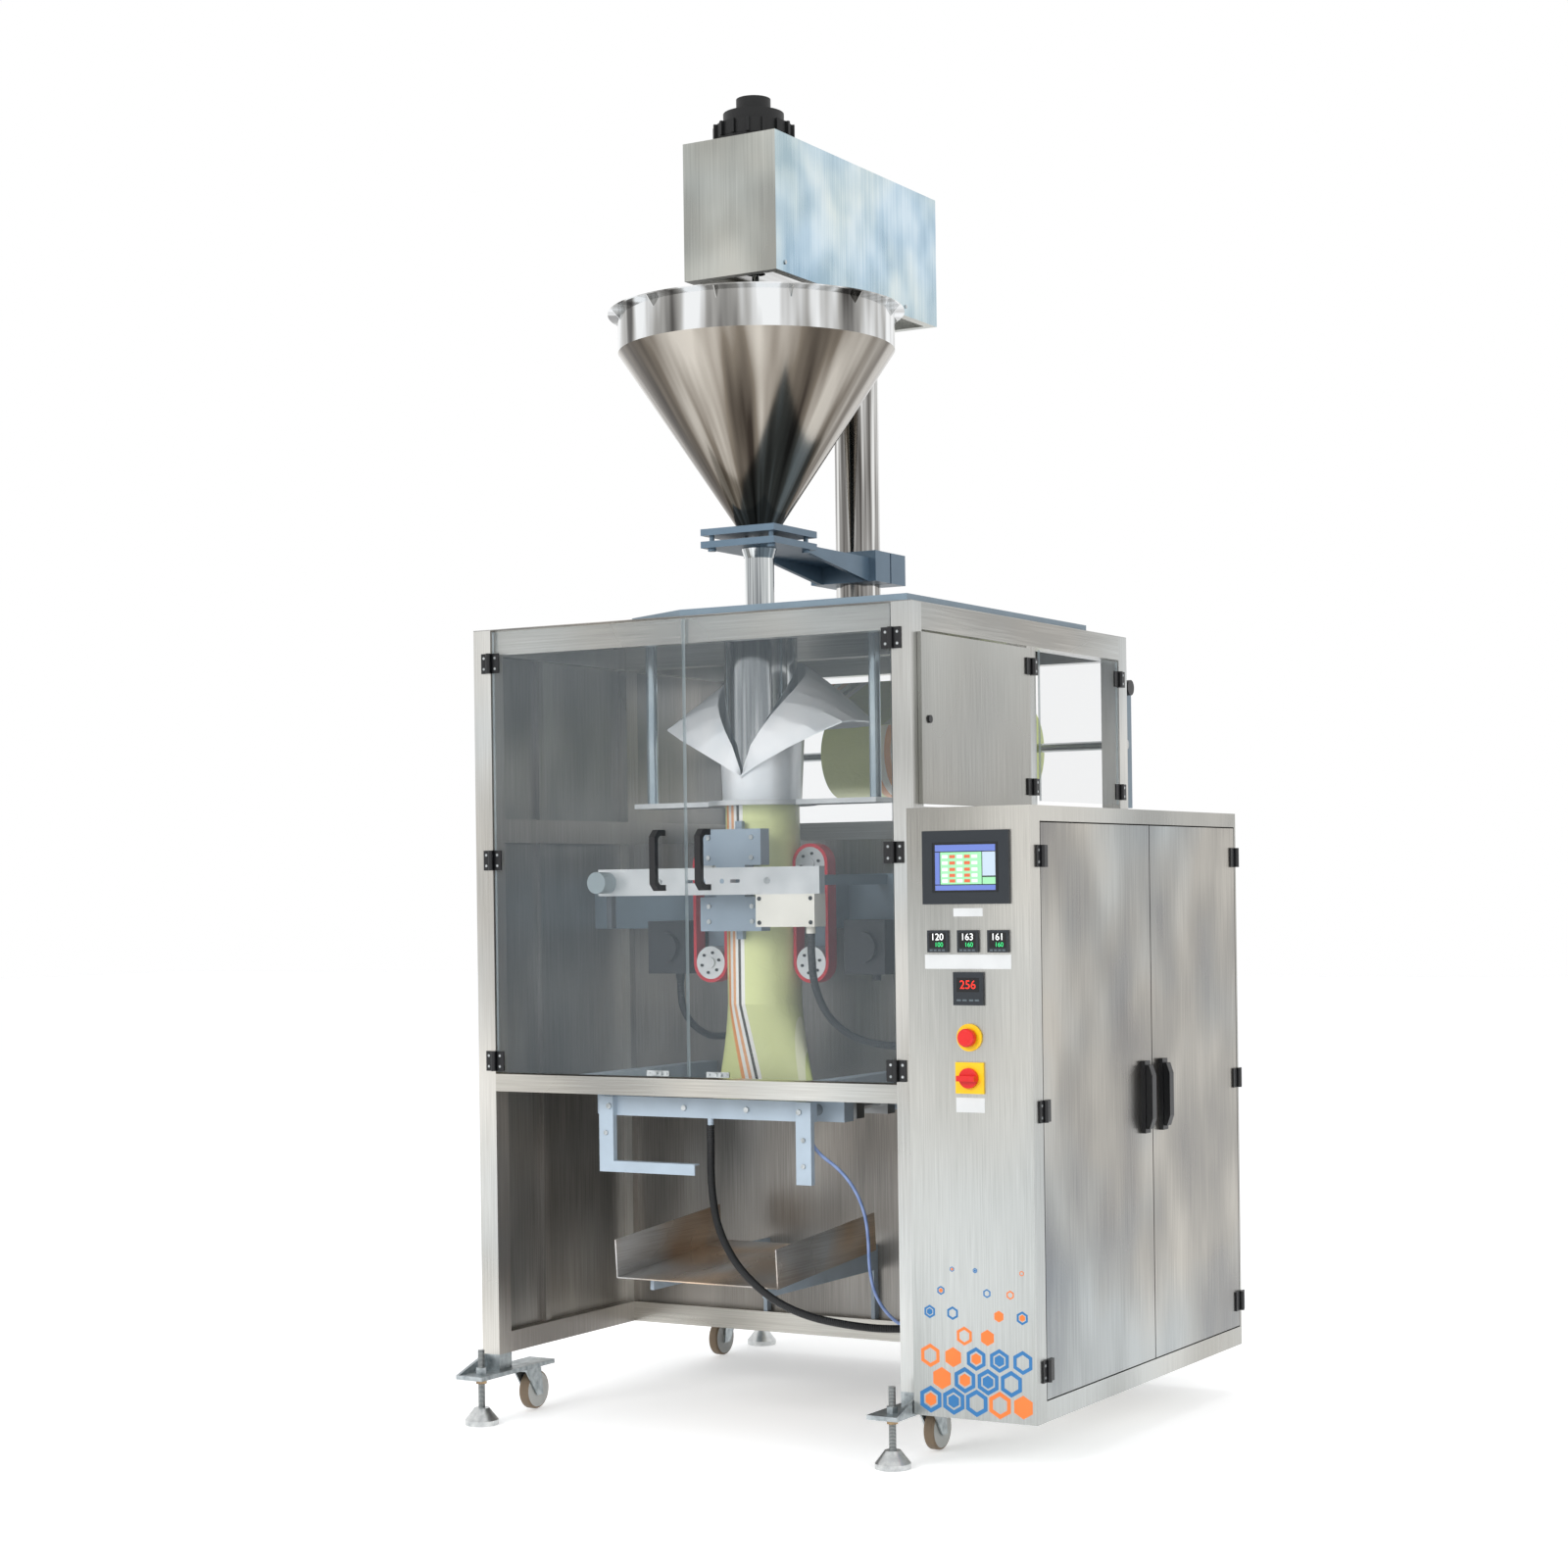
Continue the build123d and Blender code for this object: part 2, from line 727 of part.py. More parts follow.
def drive_box():
    """Folded sheet cover, open below with a small inward lip."""
    shell = block(-box_half_width, box_half_width, box_front, box_back, box_bottom, box_top)
    w, f, b = box_half_width - box_wall, box_front + box_wall, box_back - box_wall
    shell -= block(-w, w, f, b, box_bottom + box_wall, box_top - box_wall)
    lip = box_lip
    shell -= block(-w + lip, w - lip, f + lip, b - lip, box_bottom - overrun, box_bottom + box_wall + overrun)
    shell -= rod_up(0.0, column_y, box_bottom - overrun, box_bottom + box_wall + overrun, column_radius)
    return shell - rod_up(0.0, axis_y, box_top - box_wall - overrun, box_top + overrun, motor_cap_radius)


def drive_motor():
    """Gearbox and coupling inside the cover, stepped ribbed motor above it."""
    floor = box_bottom + box_floor_lift + box_floor_thick
    coupling = rod_up(0.0, axis_y, floor, floor + coupling_height, coupling_radius - free_gap)
    coupling -= rod_up(0.0, axis_y, floor - overrun, floor + coupling_height / 2 + free_gap,
                       shaft_radius + fit_gap)
    half = gearbox_side / 2
    gear_top = floor + coupling_height + gearbox_height
    body = block(-half, half, axis_y - half, axis_y + half, floor + coupling_height, gear_top)
    body += block(-half, half, axis_y + half, axis_y + half + box_lip, floor, gear_top)
    drive = coupling + body + rod_up(0.0, axis_y, gear_top, box_top, motor_cap_radius - free_gap)
    z1 = box_top + motor_base_height
    z2 = z1 + motor_ring_height
    z3 = z2 + motor_body_height
    drive += rod_up(0.0, axis_y, box_top, z1, motor_base_radius)
    ring = rod_up(0.0, 0.0, z1, z2, motor_ring_radius - motor_rib_depth)
    for turn in range(motor_rib_count):
        reach = motor_ring_radius
        rib = block(0.0, reach, -motor_rib_width / 2, motor_rib_width / 2, z1, z2)
        ring += Rot(0, 0, turn * 360 / motor_rib_count) * rib
    drive += Pos(0, axis_y, 0) * ring
    drive += rod_up(0.0, axis_y, z2, z3, motor_body_radius)
    return drive + rod_up(0.0, axis_y, z3, z3 + motor_cap_height, motor_cap_radius)


def collar_stand():
    """Two round rods hung from the roof plate with the collar's shelf between them."""
    shelf = block(-shelf_half_width, shelf_half_width, shelf_front, shelf_back, shelf_bottom, shelf_top)
    shelf += rod_up(0.0, axis_y, shelf_bottom, shelf_top, shelf_disc_radius)
    shelf -= rod_up(0.0, axis_y, shelf_bottom - overrun, shelf_top + overrun, collar_in)
    return [shelf] + both_sides(rod_up(rod_x, rod_y, shelf_top, body_top, rod_radius))


def collar_edge(turn):
    """Point of the shoulder's inner edge; turn runs from 0 at the front to 1 at the back."""
    angle = turn * math.pi
    lift = math.sin(angle / 2)
    radius = collar_in + collar_wall + collar_flare * lift
    height = collar_low_z + collar_rise * lift ** edge_power_share
    return Vector(radius * math.sin(angle), axis_y - radius * math.cos(angle), height)


def wing_edge(turn):
    """Point of the wing's outer edge; it leaves the throat at the front and ends square at the back."""
    base = collar_edge(turn)
    angle = turn * math.pi
    grow = math.sin(min(angle * wing_growth_share, math.pi / 2)) ** wing_power_share
    spread = math.sin(angle) ** wing_square_share
    ring = collar_in + collar_wall
    x = base.X + (wing_span - base.X) * grow * spread
    y = axis_y - (ring + wing_throat) * math.cos(angle) + (wing_back - ring) * turn ** 2
    z = collar_low_z + (wing_tip_z - collar_low_z) * grow
    return Vector(x, y, z)


def skin(rows):
    """A smooth face through rows of points."""
    return Face.make_surface_from_array_of_points(rows, tol=collar_tolerance, min_deg=1, max_deg=3)


def forming_collar():
    """Forming shoulder: a ring around the film and two wings that fold the flat web into a tube."""
    ring_rows = []
    wing_rows = []
    for row in range(collar_rows):
        share = row / (collar_rows - 1)
        ring_line = []
        wing_line = []
        for step in range(collar_steps + 1):
            turn = step / collar_steps
            angle = turn * math.pi
            top = collar_edge(turn)
            ring = collar_in + collar_wall
            foot = Vector(ring * math.sin(angle), axis_y - ring * math.cos(angle), shelf_top)
            tip = wing_edge(turn)
            bulge = Vector(0, 0, wing_bulge * math.sin(share * math.pi) * math.sin(angle))
            ring_line.append(foot + (top - foot) * share)
            wing_line.append(top + (tip - top) * share + bulge)
        ring_rows.append(ring_line)
        wing_rows.append(wing_line)
    ring = thicken(skin(ring_rows), amount=collar_wall)
    wing = Solid.extrude(skin(wing_rows), Vector(0, 0, wing_drop))
    return both_sides(ring) + both_sides(wing)


def forming_tube():
    """Tube that the film wraps round, with the filling tube inside it."""
    tube = rod_up(0.0, axis_y, tube_bottom, tube_top, tube_radius)
    return tube - rod_up(0.0, axis_y, tube_bottom - overrun, tube_top + overrun, tube_radius - tube_wall_thin)


def film():
    """Film: web from the roller to the collar, and the sleeve that flattens towards the jaws."""
    def form(grow, low, high):
        top = Pos(0, axis_y, high) * Circle(sleeve_in + grow)
        bottom = Pos(0, axis_y, low) * Ellipse(sleeve_flat_width / 2 - film_thick + grow,
                                               sleeve_flat_thick / 2 - film_thick + grow)
        return loft([bottom, top])
    flare = form(film_thick, sleeve_bottom, sleeve_flat_top)
    flare -= form(0.0, sleeve_bottom, sleeve_flat_top)
    pipe = rod_up(0.0, axis_y, sleeve_flat_top, collar_low_z, sleeve_out)
    pipe -= rod_up(0.0, axis_y, sleeve_flat_top - overrun, collar_low_z + overrun, sleeve_in)
    over = roller_radius + film_thick
    web = Polyline((reel_y - reel_core_radius, reel_z + reel_radius + web_gap),
                   (roller_y + roller_radius / 2, roller_z + over), (roller_y, roller_z + over + film_thick),
                   (roller_y - roller_radius / 2, roller_z + over),
                   (axis_y + wing_back + wing_throat, wing_tip_z + wing_drop + film_gap + film_thick))
    strip = extrude(Plane.YZ * trace(web, film_thick), web_half_width, both=True)
    return [flare + pipe, strip]


def belt_frame():
    """Beam behind the film with the plates and pins of the pulleys, and the arms of the seal bar."""
    front = axis_y + belt_width / 2 + seat_gap
    side = half_width - post_size / 2
    frame = block(-side, side, beam_y, beam_y + beam_thick, beam_bottom, beam_top)
    for x in [-pulley_x, pulley_x]:
        low = pulley_low_z - belt_plate_margin
        high = pulley_high_z + belt_plate_margin
        frame += block(x - belt_plate_half, x + belt_plate_half, front, front + belt_plate_thick, low, high)
        frame += block(x - belt_plate_half, x + belt_plate_half, front, beam_y, beam_bottom, beam_top)
        for z in [pulley_low_z, pulley_high_z]:
            tip = axis_y - belt_width / 2 + pulley_bore_land
            frame += rod_back(x, z, tip, front + belt_plate_thick, pulley_bore_land)
    middle = arm_bar_bottom + arm_bar_height / 2
    for x in [-arm_left + standoff_side, arm_right - standoff_side]:
        half = standoff_side / 2
        frame += block(x - half, x + half, arm_front + arm_bar_thick, beam_y, middle - half, middle + half)
    return frame


def reel_brackets():
    """Rear plates that hold the reel's shaft, and hangers of the roller under the roof."""
    plate = block(reel_plate_x, reel_plate_x + reel_plate_thick, body_depth, body_depth + reel_plate_reach,
                  reel_plate_bottom, reel_plate_top)
    plate -= rod_right(reel_y, reel_z, reel_plate_x - overrun, reel_plate_x + reel_plate_thick + overrun,
                       reel_shaft_radius + fit_gap)
    outer = reel_plate_x + reel_plate_thick
    middle = body_depth + reel_plate_reach / 2
    plate += rod_right(middle, reel_plate_top - reel_knob_radius, outer, outer + reel_knob_radius,
                       reel_knob_radius)
    inner = roller_half_width + seat_gap
    hanger = block(inner, inner + hanger_thick, roller_y - hanger_half_depth, roller_y + hanger_half_depth,
                   roller_z - hanger_half_depth, body_top)
    hanger -= rod_right(roller_y, roller_z, inner - overrun, inner + hanger_thick + overrun,
                        roller_pin_radius + fit_gap)
    return both_sides(plate) + both_sides(hanger)


def jaw_supports():
    """Bars between crossbar and wall with the blocks that hold the jaw shafts."""
    inner = guide_bar_x - guide_bar_half
    outer = guide_bar_x + guide_bar_half
    bar = block(inner, outer, post_size, wall_y, crossbar_bottom, crossbar_bottom + crossbar_height)
    for front in [bearing_front, bearing_back]:
        part = block(bearing_inner, outer, front, front + bearing_length, bearing_bottom, crossbar_bottom)
        part -= rod_back(jaw_shaft_x, jaw_shaft_z, front - overrun, front + bearing_length + overrun,
                         jaw_shaft_radius)
        bar += part
    return both_sides(bar)


def chute_line(y):
    """Height of the underside of the chute's floor."""
    return chute_floor_z + (y - chute_front) * math.tan(math.radians(chute_slope))


def chute_brackets():
    """Two plates that carry the chute and stand on the lower cross rail."""
    start = chute_front + post_size
    end = chute_front + chute_length - post_size
    rail = frame_bottom + post_size
    foot = wall_y - rib_width
    outline = Polyline((start, chute_line(start)), (end, chute_line(end)), (wall_y, chute_line(end)),
                       (wall_y, rail), (foot, rail), (foot, chute_line(start) - chute_bracket_drop),
                       (start, chute_line(start) - chute_bracket_drop), close=True)
    plate = extrude(Plane.YZ * make_face(outline), chute_bracket_thick)
    return both_sides(Pos(chute_bracket_x, 0, 0) * plate)


def discharge_chute():
    """Sheet channel, open at the front, that slopes down towards the operator."""
    wall = chute_sheet
    trough = block(-chute_half_width, chute_half_width, 0.0, chute_length, 0.0, chute_wall_height)
    trough -= block(-chute_half_width + wall, chute_half_width - wall, -overrun, chute_length + overrun,
                    wall, chute_wall_height + overrun)
    return Pos(0, chute_front, chute_floor_z) * Rot(chute_slope, 0, 0) * trough


def belt_gearboxes():
    """Two gearboxes beside the belts, on the beam."""
    x1 = gearbox_x + belt_gearbox_width
    top = belt_gearbox_bottom + belt_gearbox_height
    box = block(gearbox_x, x1, beam_y - belt_gearbox_depth, beam_y, belt_gearbox_bottom, top)
    middle = (gearbox_x + x1) / 2
    level = belt_gearbox_bottom + belt_gearbox_height / 2
    front = beam_y - belt_gearbox_depth
    box += rod_back(middle, level, front - gland_length, front, belt_gearbox_width / 3)
    box += rod_up(middle, front + belt_gearbox_depth / 2, belt_gearbox_bottom - gland_length,
                  belt_gearbox_bottom, gland_radius)
    return both_sides(box)


def pull_belts():
    """Two flat belts round their pulleys, running down beside the film."""
    reach = pulley_high_z - pulley_low_z
    inner = pulley_radius + belt_slip_gap
    outline = SlotCenterToCenter(reach, 2 * (inner + belt_thick)) - SlotCenterToCenter(reach, 2 * inner)
    loop = extrude(Plane.XZ * Rot(0, 0, 90) * outline, belt_width / 2, both=True)
    return both_sides(Pos(pulley_x, axis_y, (pulley_high_z + pulley_low_z) / 2) * loop)


def pulley(x, z):
    """Flat pulley with a capped hub, bored for its pin."""
    front = axis_y - belt_width / 2
    wheel = rod_back(x, z, front, front + belt_width, pulley_radius)
    wheel += rod_back(x, z, front - pulley_cap_height, front, pulley_cap_radius)
    return wheel - rod_back(x, z, front + pulley_bore_land - free_gap, front + belt_width + overrun,
                            pulley_bore_land + fit_gap)


def seal_arm():
    """Bright bar with slots and guide holes, a round knob and a short lever at its left end."""
    back = arm_front + arm_bar_thick
    top = arm_bar_bottom + arm_bar_height
    middle = (arm_bar_bottom + top) / 2
    bar = block(-arm_left, arm_right, arm_front, back, arm_bar_bottom, top)
    for x in [-arm_slot_x, arm_slot_x]:
        half = arm_slot_length / 2
        bar -= block(x - half, x + half, arm_front - overrun, back + overrun,
                     middle - arm_slot_height / 2, middle + arm_slot_height / 2)
    for x in [-guide_pin_x, guide_pin_x]:
        bar -= rod_back(x, middle, arm_front - overrun, back + overrun, guide_pin_radius + fit_gap)
    knob_x = -arm_left + knob_inset
    bar += rod_back(knob_x, middle, arm_front - knob_length, arm_front, knob_radius)
    half = lever_width / 2
    return bar + block(knob_x - half, knob_x + half, arm_front + half, back,
                       arm_bar_bottom - lever_length, arm_bar_bottom)


def vertical_sealer():
    """Carrier blocks with the heated bar, sliding on two pins in the seal arm."""
    back = sealer_front + sealer_thick
    body = block(-sealer_half_width, sealer_half_width, sealer_front, back, sealer_bottom, sealer_low_top)
    body += block(-sealer_half_width, sealer_half_width, sealer_front, back, sealer_high_bottom, sealer_top)
    body += block(-sealer_spine_half, sealer_spine_half, sealer_front, back, sealer_low_top,
                  sealer_high_bottom)
    face = axis_y - sleeve_out - sealer_travel - seal_gap
    body += block(-seal_bar_half, seal_bar_half, back, face, sealer_bottom - seal_bar_margin,
                  sealer_top + seal_bar_margin)
    middle = arm_bar_bottom + arm_bar_height / 2
    for x in [-guide_pin_x, guide_pin_x]:
        body += rod_back(x, middle, arm_front, sealer_front, guide_pin_radius)
    return body


def junction_box():
    """Small box with a screwed lid and two glands, hung under the seal arm."""
    top = arm_bar_bottom
    bottom = top - junction_height
    back = junction_front + junction_depth
    box = block(junction_left, junction_right, junction_front, back, bottom, top)
    groove = junction_front + junction_lid
    frame = block(junction_left - overrun, junction_right + overrun, groove, groove + seat_gap,
                  bottom - overrun, top + overrun)
    frame -= block(junction_left + seat_gap, junction_right - seat_gap, groove - overrun,
                   groove + overrun, bottom + seat_gap, top - seat_gap)
    box -= frame
    for x in [junction_left + junction_screw_inset, junction_right - junction_screw_inset]:
        for z in [bottom + junction_screw_inset, top - junction_screw_inset]:
            box += rod_back(x, z, junction_front - seat_gap, junction_front, junction_screw_radius)
    middle = junction_front + junction_depth / 2
    box += rod_up(junction_right - post_size / 2, middle, bottom - gland_length, bottom, gland_radius)
    return box


def jaw_yoke():
    """Front bar of the jaw unit with its two legs and the cable bar."""
    back = yoke_front + yoke_thick
    bar = block(-yoke_half_width, yoke_half_width, yoke_front, back, yoke_bar_bottom, yoke_bar_top)
    leg_front = yoke_front - yoke_leg_thick
    inner = yoke_half_width - yoke_leg_width
    start = conduit_route[0]
    bar += rod_up(start[0], start[1], start[2], yoke_bar_bottom, yoke_thick / 2)
    start = air_tube_route[0]
    bar += rod_up(start[0], start[1], start[2], yoke_bar_bottom, air_gland_radius)
    left = block(-yoke_half_width, -inner, leg_front, yoke_front, yoke_leg_low_left, yoke_bar_top)
    right = block(inner, yoke_half_width, leg_front, yoke_front, yoke_leg_low_right, yoke_bar_top)
    tray = block(-yoke_half_width, -yoke_half_width + cable_bar_length, leg_front,
                 leg_front + cable_bar_depth, yoke_leg_low_left - cable_bar_height, yoke_leg_low_left)
    tray -= block(-yoke_half_width + chute_sheet, -yoke_half_width + cable_bar_length + overrun,
                  leg_front + chute_sheet, leg_front + cable_bar_depth + overrun,
                  yoke_leg_low_left - cable_bar_height - overrun, yoke_leg_low_left - chute_sheet)
    return [bar, left, right, tray]


def jaw_shafts():
    """Two shafts that guide the jaws, and the two air cylinders that drive them."""
    back = yoke_front + yoke_thick
    solids = both_sides(rod_back(jaw_shaft_x, jaw_shaft_z, back, jaw_shaft_end, jaw_shaft_radius))
    for front, end, bore_front, bore_end in [
            (back, back + cylinder_length, back + tube_wall, back + cylinder_length + overrun),
            (rear_cylinder_front, wall_y, rear_cylinder_front - overrun, wall_y - tube_wall)]:
        barrel = rod_back(0.0, jaw_shaft_z, front, end, cylinder_radius)
        barrel -= rod_back(0.0, jaw_shaft_z, bore_front, bore_end, piston_radius + fit_gap)
        solids.append(barrel)
    return solids


def jaw(face, side):
    """One sealing jaw with bored lugs and its piston rod; side is -1 in front, 1 behind the film."""
    back = face + side * jaw_depth
    bar = block(-jaw_half_width, jaw_half_width, face, back, jaw_bottom, jaw_top)
    outer = jaw_shaft_x + lug_half_width
    lug_face = face + side * jaw_depth / 4
    bar += block(-outer, outer, lug_face, back, jaw_bottom, jaw_top)
    for x in [-jaw_shaft_x, jaw_shaft_x]:
        bar -= rod_back(x, jaw_shaft_z, min(face, back) - overrun, max(face, back) + overrun,
                        jaw_shaft_radius + fit_gap)
    bar -= block(-jaw_half_width - overrun, jaw_half_width + overrun, face - side * overrun,
                 face + side * seal_bar_margin / 2, jaw_shaft_z - tube_wall, jaw_shaft_z + tube_wall)
    if side < 0:
        tip = yoke_front + yoke_thick + tube_wall * 2
        return bar + rod_back(0.0, jaw_shaft_z, tip, back, piston_radius)
    tip = wall_y - tube_wall * 2 - overrun
    return bar + rod_back(0.0, jaw_shaft_z, back, tip, piston_radius)


def knife():
    """Thin blade that lies in the groove of the front jaw."""
    face = axis_y - jaw_half_gap
    return block(-knife_half_width, knife_half_width, face - seal_bar_margin / 2 + free_gap, face - free_gap,
                 jaw_shaft_z - knife_thick / 2, jaw_shaft_z + knife_thick / 2)


def from_back(shape):
    """The same shape at the other end of the body."""
    return mirror(shape, about=Plane.XZ.offset(-body_depth / 2))


def fork(y, trail):
    """Caster fork with its axle, swivel disc and kingpin."""
    centre_z = wheel_radius + wheel_lift
    top = foot_plate_bottom - swivel_gap
    disc = top - swivel_height
    under = disc - fork_top_thick
    side = wheel_width / 2 + fork_gap
    body = rod_up(foot_x, y, disc, top, swivel_radius)
    body += rod_up(foot_x, y, top, foot_plate_bottom + foot_plate_thick, wheel_axle_radius)
    body += block(foot_x - side - fork_thick, foot_x + side + fork_thick, y - fork_half_length,
                  y + fork_half_length, under, disc)
    way = 1 if trail > 0 else -1
    cheek = Polyline((y - way * fork_half_length, under), (y + way * fork_half_length, under),
                     (y + trail + way * wheel_hub_radius, centre_z - wheel_hub_radius),
                     (y + trail - way * wheel_hub_radius, centre_z - wheel_hub_radius), close=True)
    plate = extrude(Plane.YZ * make_face(cheek), fork_thick)
    body += Pos(foot_x + side, 0, 0) * plate
    body += Pos(foot_x - side - fork_thick, 0, 0) * plate
    return body + rod_right(y + trail, centre_z, foot_x - side, foot_x + side, wheel_axle_radius)


def wheel(y):
    """Caster wheel with a hub wider than its tread."""
    centre_z = wheel_radius + wheel_lift
    half = wheel_width / 2
    tyre = rod_right(y, centre_z, foot_x - half, foot_x + half, wheel_radius)
    tyre = fillet(tyre.edges().filter_by(GeomType.CIRCLE), wheel_width / 5)
    half += fork_gap - free_gap
    tyre += rod_right(y, centre_z, foot_x - half, foot_x + half, wheel_hub_radius)
    return tyre - rod_right(y, centre_z, foot_x - half - overrun, foot_x + half + overrun,
                            wheel_axle_radius + fit_gap)


def foot_plates():
    """Plates under the posts with gussets, lock nuts and the rigid rear caster forks."""
    top = foot_plate_bottom + foot_plate_thick
    plate = block(foot_plate_inner, foot_plate_outer, -foot_plate_front, foot_plate_reach,
                  foot_plate_bottom, top)
    plate += block(inner_x, foot_plate_outer, 0.0, post_size, top, frame_bottom)
    rib = Polyline((0.0, top), (0.0, frame_bottom), (-foot_plate_front, top), close=True)
    web = extrude(Plane.YZ * make_face(rib), gusset_plate_thick)
    plate += Pos(foot_plate_outer - gusset_plate_thick, 0, 0) * web
    for low, high in [(foot_plate_bottom - foot_nut_height, foot_plate_bottom), (top, top + foot_nut_height)]:
        nut = extrude(RegularPolygon(foot_nut_radius, 6), high - low)
        plate += Pos(foot_x, -foot_front, low) * nut
    plate -= rod_up(foot_x, -foot_front, foot_plate_bottom - foot_nut_height - overrun,
                    top + foot_nut_height + overrun, stud_radius + fit_gap)
    rear = from_back(plate)
    front = plate - rod_up(foot_x, caster_y, foot_plate_bottom - overrun, top + overrun,
                           wheel_axle_radius + fit_gap)
    rear_fork = fork(body_depth - caster_y, -caster_trail)
    rear_fork += rod_up(foot_x, body_depth - caster_y, foot_plate_bottom - swivel_gap, foot_plate_bottom,
                        swivel_radius)
    return both_sides(front) + both_sides(rear + rear_fork)


def levelling_foot():
    """Threaded stud in a round pad."""
    profile = make_face(Polyline((0.0, 0.0), (foot_pad_radius, 0.0), (foot_pad_radius, foot_pad_rim),
                                 (foot_pad_waist, foot_pad_height), (stud_radius, foot_pad_height),
                                 (stud_radius, stud_top), (0.0, stud_top), close=True))
    return Pos(foot_x, -foot_front, 0) * revolve(Plane.XZ * profile, Axis.Z)


def cabinet_shell():
    """Electrical cabinet of sheet steel, open where the two doors close it."""
    x0, x1 = half_width, cabinet_x
    shell = block(x0, x1, -cabinet_front, cabinet_back, cabinet_bottom, cabinet_top)
    w = cabinet_wall
    shell -= block(x0 + w, x1 - w, w - cabinet_front, cabinet_back - w, cabinet_bottom + w, cabinet_top - w)
    gap = cabinet_wall
    return shell - block(x1 - w - overrun, x1 + overrun, cabinet_door_front - gap, cabinet_door_back + gap,
                         cabinet_door_bottom - gap, cabinet_door_top + gap)


def cabinet_door(front, back, hinge_front, lock_y):
    """Folded door pan with its hinge leaves and the base of the swing handle."""
    x1 = cabinet_x
    x0 = x1 - cabinet_door_depth
    pan = block(x0, x1, front, back, cabinet_door_bottom, cabinet_door_top)
    pan -= block(x0 - overrun, x1 - door_sheet, front + door_sheet, back - door_sheet,
                 cabinet_door_bottom + door_sheet, cabinet_door_top - door_sheet)
    solids = [pan]
    for z in cabinet_hinge_heights:
        edge = front + door_gap + free_gap if hinge_front else back - door_gap - free_gap
        end = edge + leaf_width if hinge_front else edge - leaf_width
        solids.append(block(x1, x1 + leaf_thick, edge, end, z, z + hinge_length))
    half = lock_base_width / 2
    base = block(x1, x1 + lock_base_depth, lock_y - half, lock_y + half, lock_base_bottom,
                 lock_base_bottom + lock_base_height)
    pivot = lock_base_bottom + lock_base_height - lock_lever_margin - lock_lever_width / 2
    base -= rod_right(lock_y, pivot, x1 + leaf_thick, x1 + lock_base_depth + overrun,
                      lever_pin_radius + fit_gap)
    return solids + [base]


def swing_handle(lock_y):
    """Handle that turns about its upper end on the lock base."""
    x0 = cabinet_x + lock_base_depth + free_gap
    low = lock_base_bottom + lock_lever_margin
    high = lock_base_bottom + lock_base_height - lock_lever_margin
    half = lock_lever_width / 2
    side = Polyline((x0, low), (x0 + lock_lever_depth / 2, low),
                    (x0 + lock_lever_depth, low + lock_lever_width),
                    (x0 + lock_lever_depth, high - lock_lever_width), (x0 + lock_lever_depth / 2, high),
                    (x0, high), close=True)
    lever = Pos(0, lock_y, 0) * extrude(Plane.XZ * make_face(side), half, both=True)
    pin_end = cabinet_x + leaf_thick + free_gap
    return lever + rod_right(lock_y, high - half, pin_end, x0, lever_pin_radius)


def panel_instruments():
    """Touch screen, three temperature controllers, counter and the two yellow switch plates."""
    face = -cabinet_front
    front = face - instrument_depth
    screen = block(screen_left, screen_left + screen_width, front, face, screen_bottom,
                   screen_bottom + screen_height)
    bezel = controller_width / 2
    screen -= block(screen_left + bezel, screen_left + screen_width - bezel, front - overrun,
                    front + seat_gap, screen_bottom + bezel, screen_bottom + screen_height - bezel)
    solids = [screen]
    for place in range(-1, 2):
        x = switch_x + place * controller_pitch
        half = controller_width / 2
        solids.append(block(x - half, x + half, front, face, controller_bottom,
                            controller_bottom + controller_height))
    half = counter_side / 2
    solids.append(block(switch_x - half, switch_x + half, front, face, counter_bottom,
                        counter_bottom + counter_side))
    ring = rod_back(switch_x, stop_z, face - stop_ring_depth, face, stop_ring_radius)
    ring -= rod_back(switch_x, stop_z, face - stop_ring_depth - overrun, face + overrun,
                     stop_stem_radius + fit_gap)
    solids.append(ring)
    half = switch_plate_side / 2
    plate = block(switch_x - half, switch_x + half, face - stop_ring_depth, face, switch_z - half,
                  switch_z + half)
    plate -= rod_back(switch_x, switch_z, face - stop_ring_depth - overrun, face - seat_gap,
                      stop_stem_radius + fit_gap)
    return solids + [plate]


def emergency_stop():
    """Red mushroom head on its stem."""
    face = -cabinet_front
    head = face - stop_ring_depth - stop_travel - free_gap
    button = rod_back(switch_x, stop_z, head - stop_head_depth, head, stop_head_radius)
    button = fillet(button.edges().sort_by(Axis.Y)[0], stop_head_depth / 3)
    return button + rod_back(switch_x, stop_z, head, face - free_gap - stop_travel, stop_stem_radius)


def main_switch():
    """Red rotary main switch with a raised grip."""
    front = -cabinet_front - stop_ring_depth
    disc_front = front - free_gap - switch_disc_depth
    switch = rod_back(switch_x, switch_z, disc_front, front - free_gap, switch_disc_radius)
    switch += rod_back(switch_x, switch_z, front - free_gap, front + stop_travel - seat_gap,
                       stop_stem_radius)
    half = switch_grip_width / 2
    reach = switch_disc_radius - free_gap
    return switch + block(switch_x - reach, switch_x + reach, disc_front - switch_grip_depth, disc_front,
                          switch_z - half, switch_z + half)


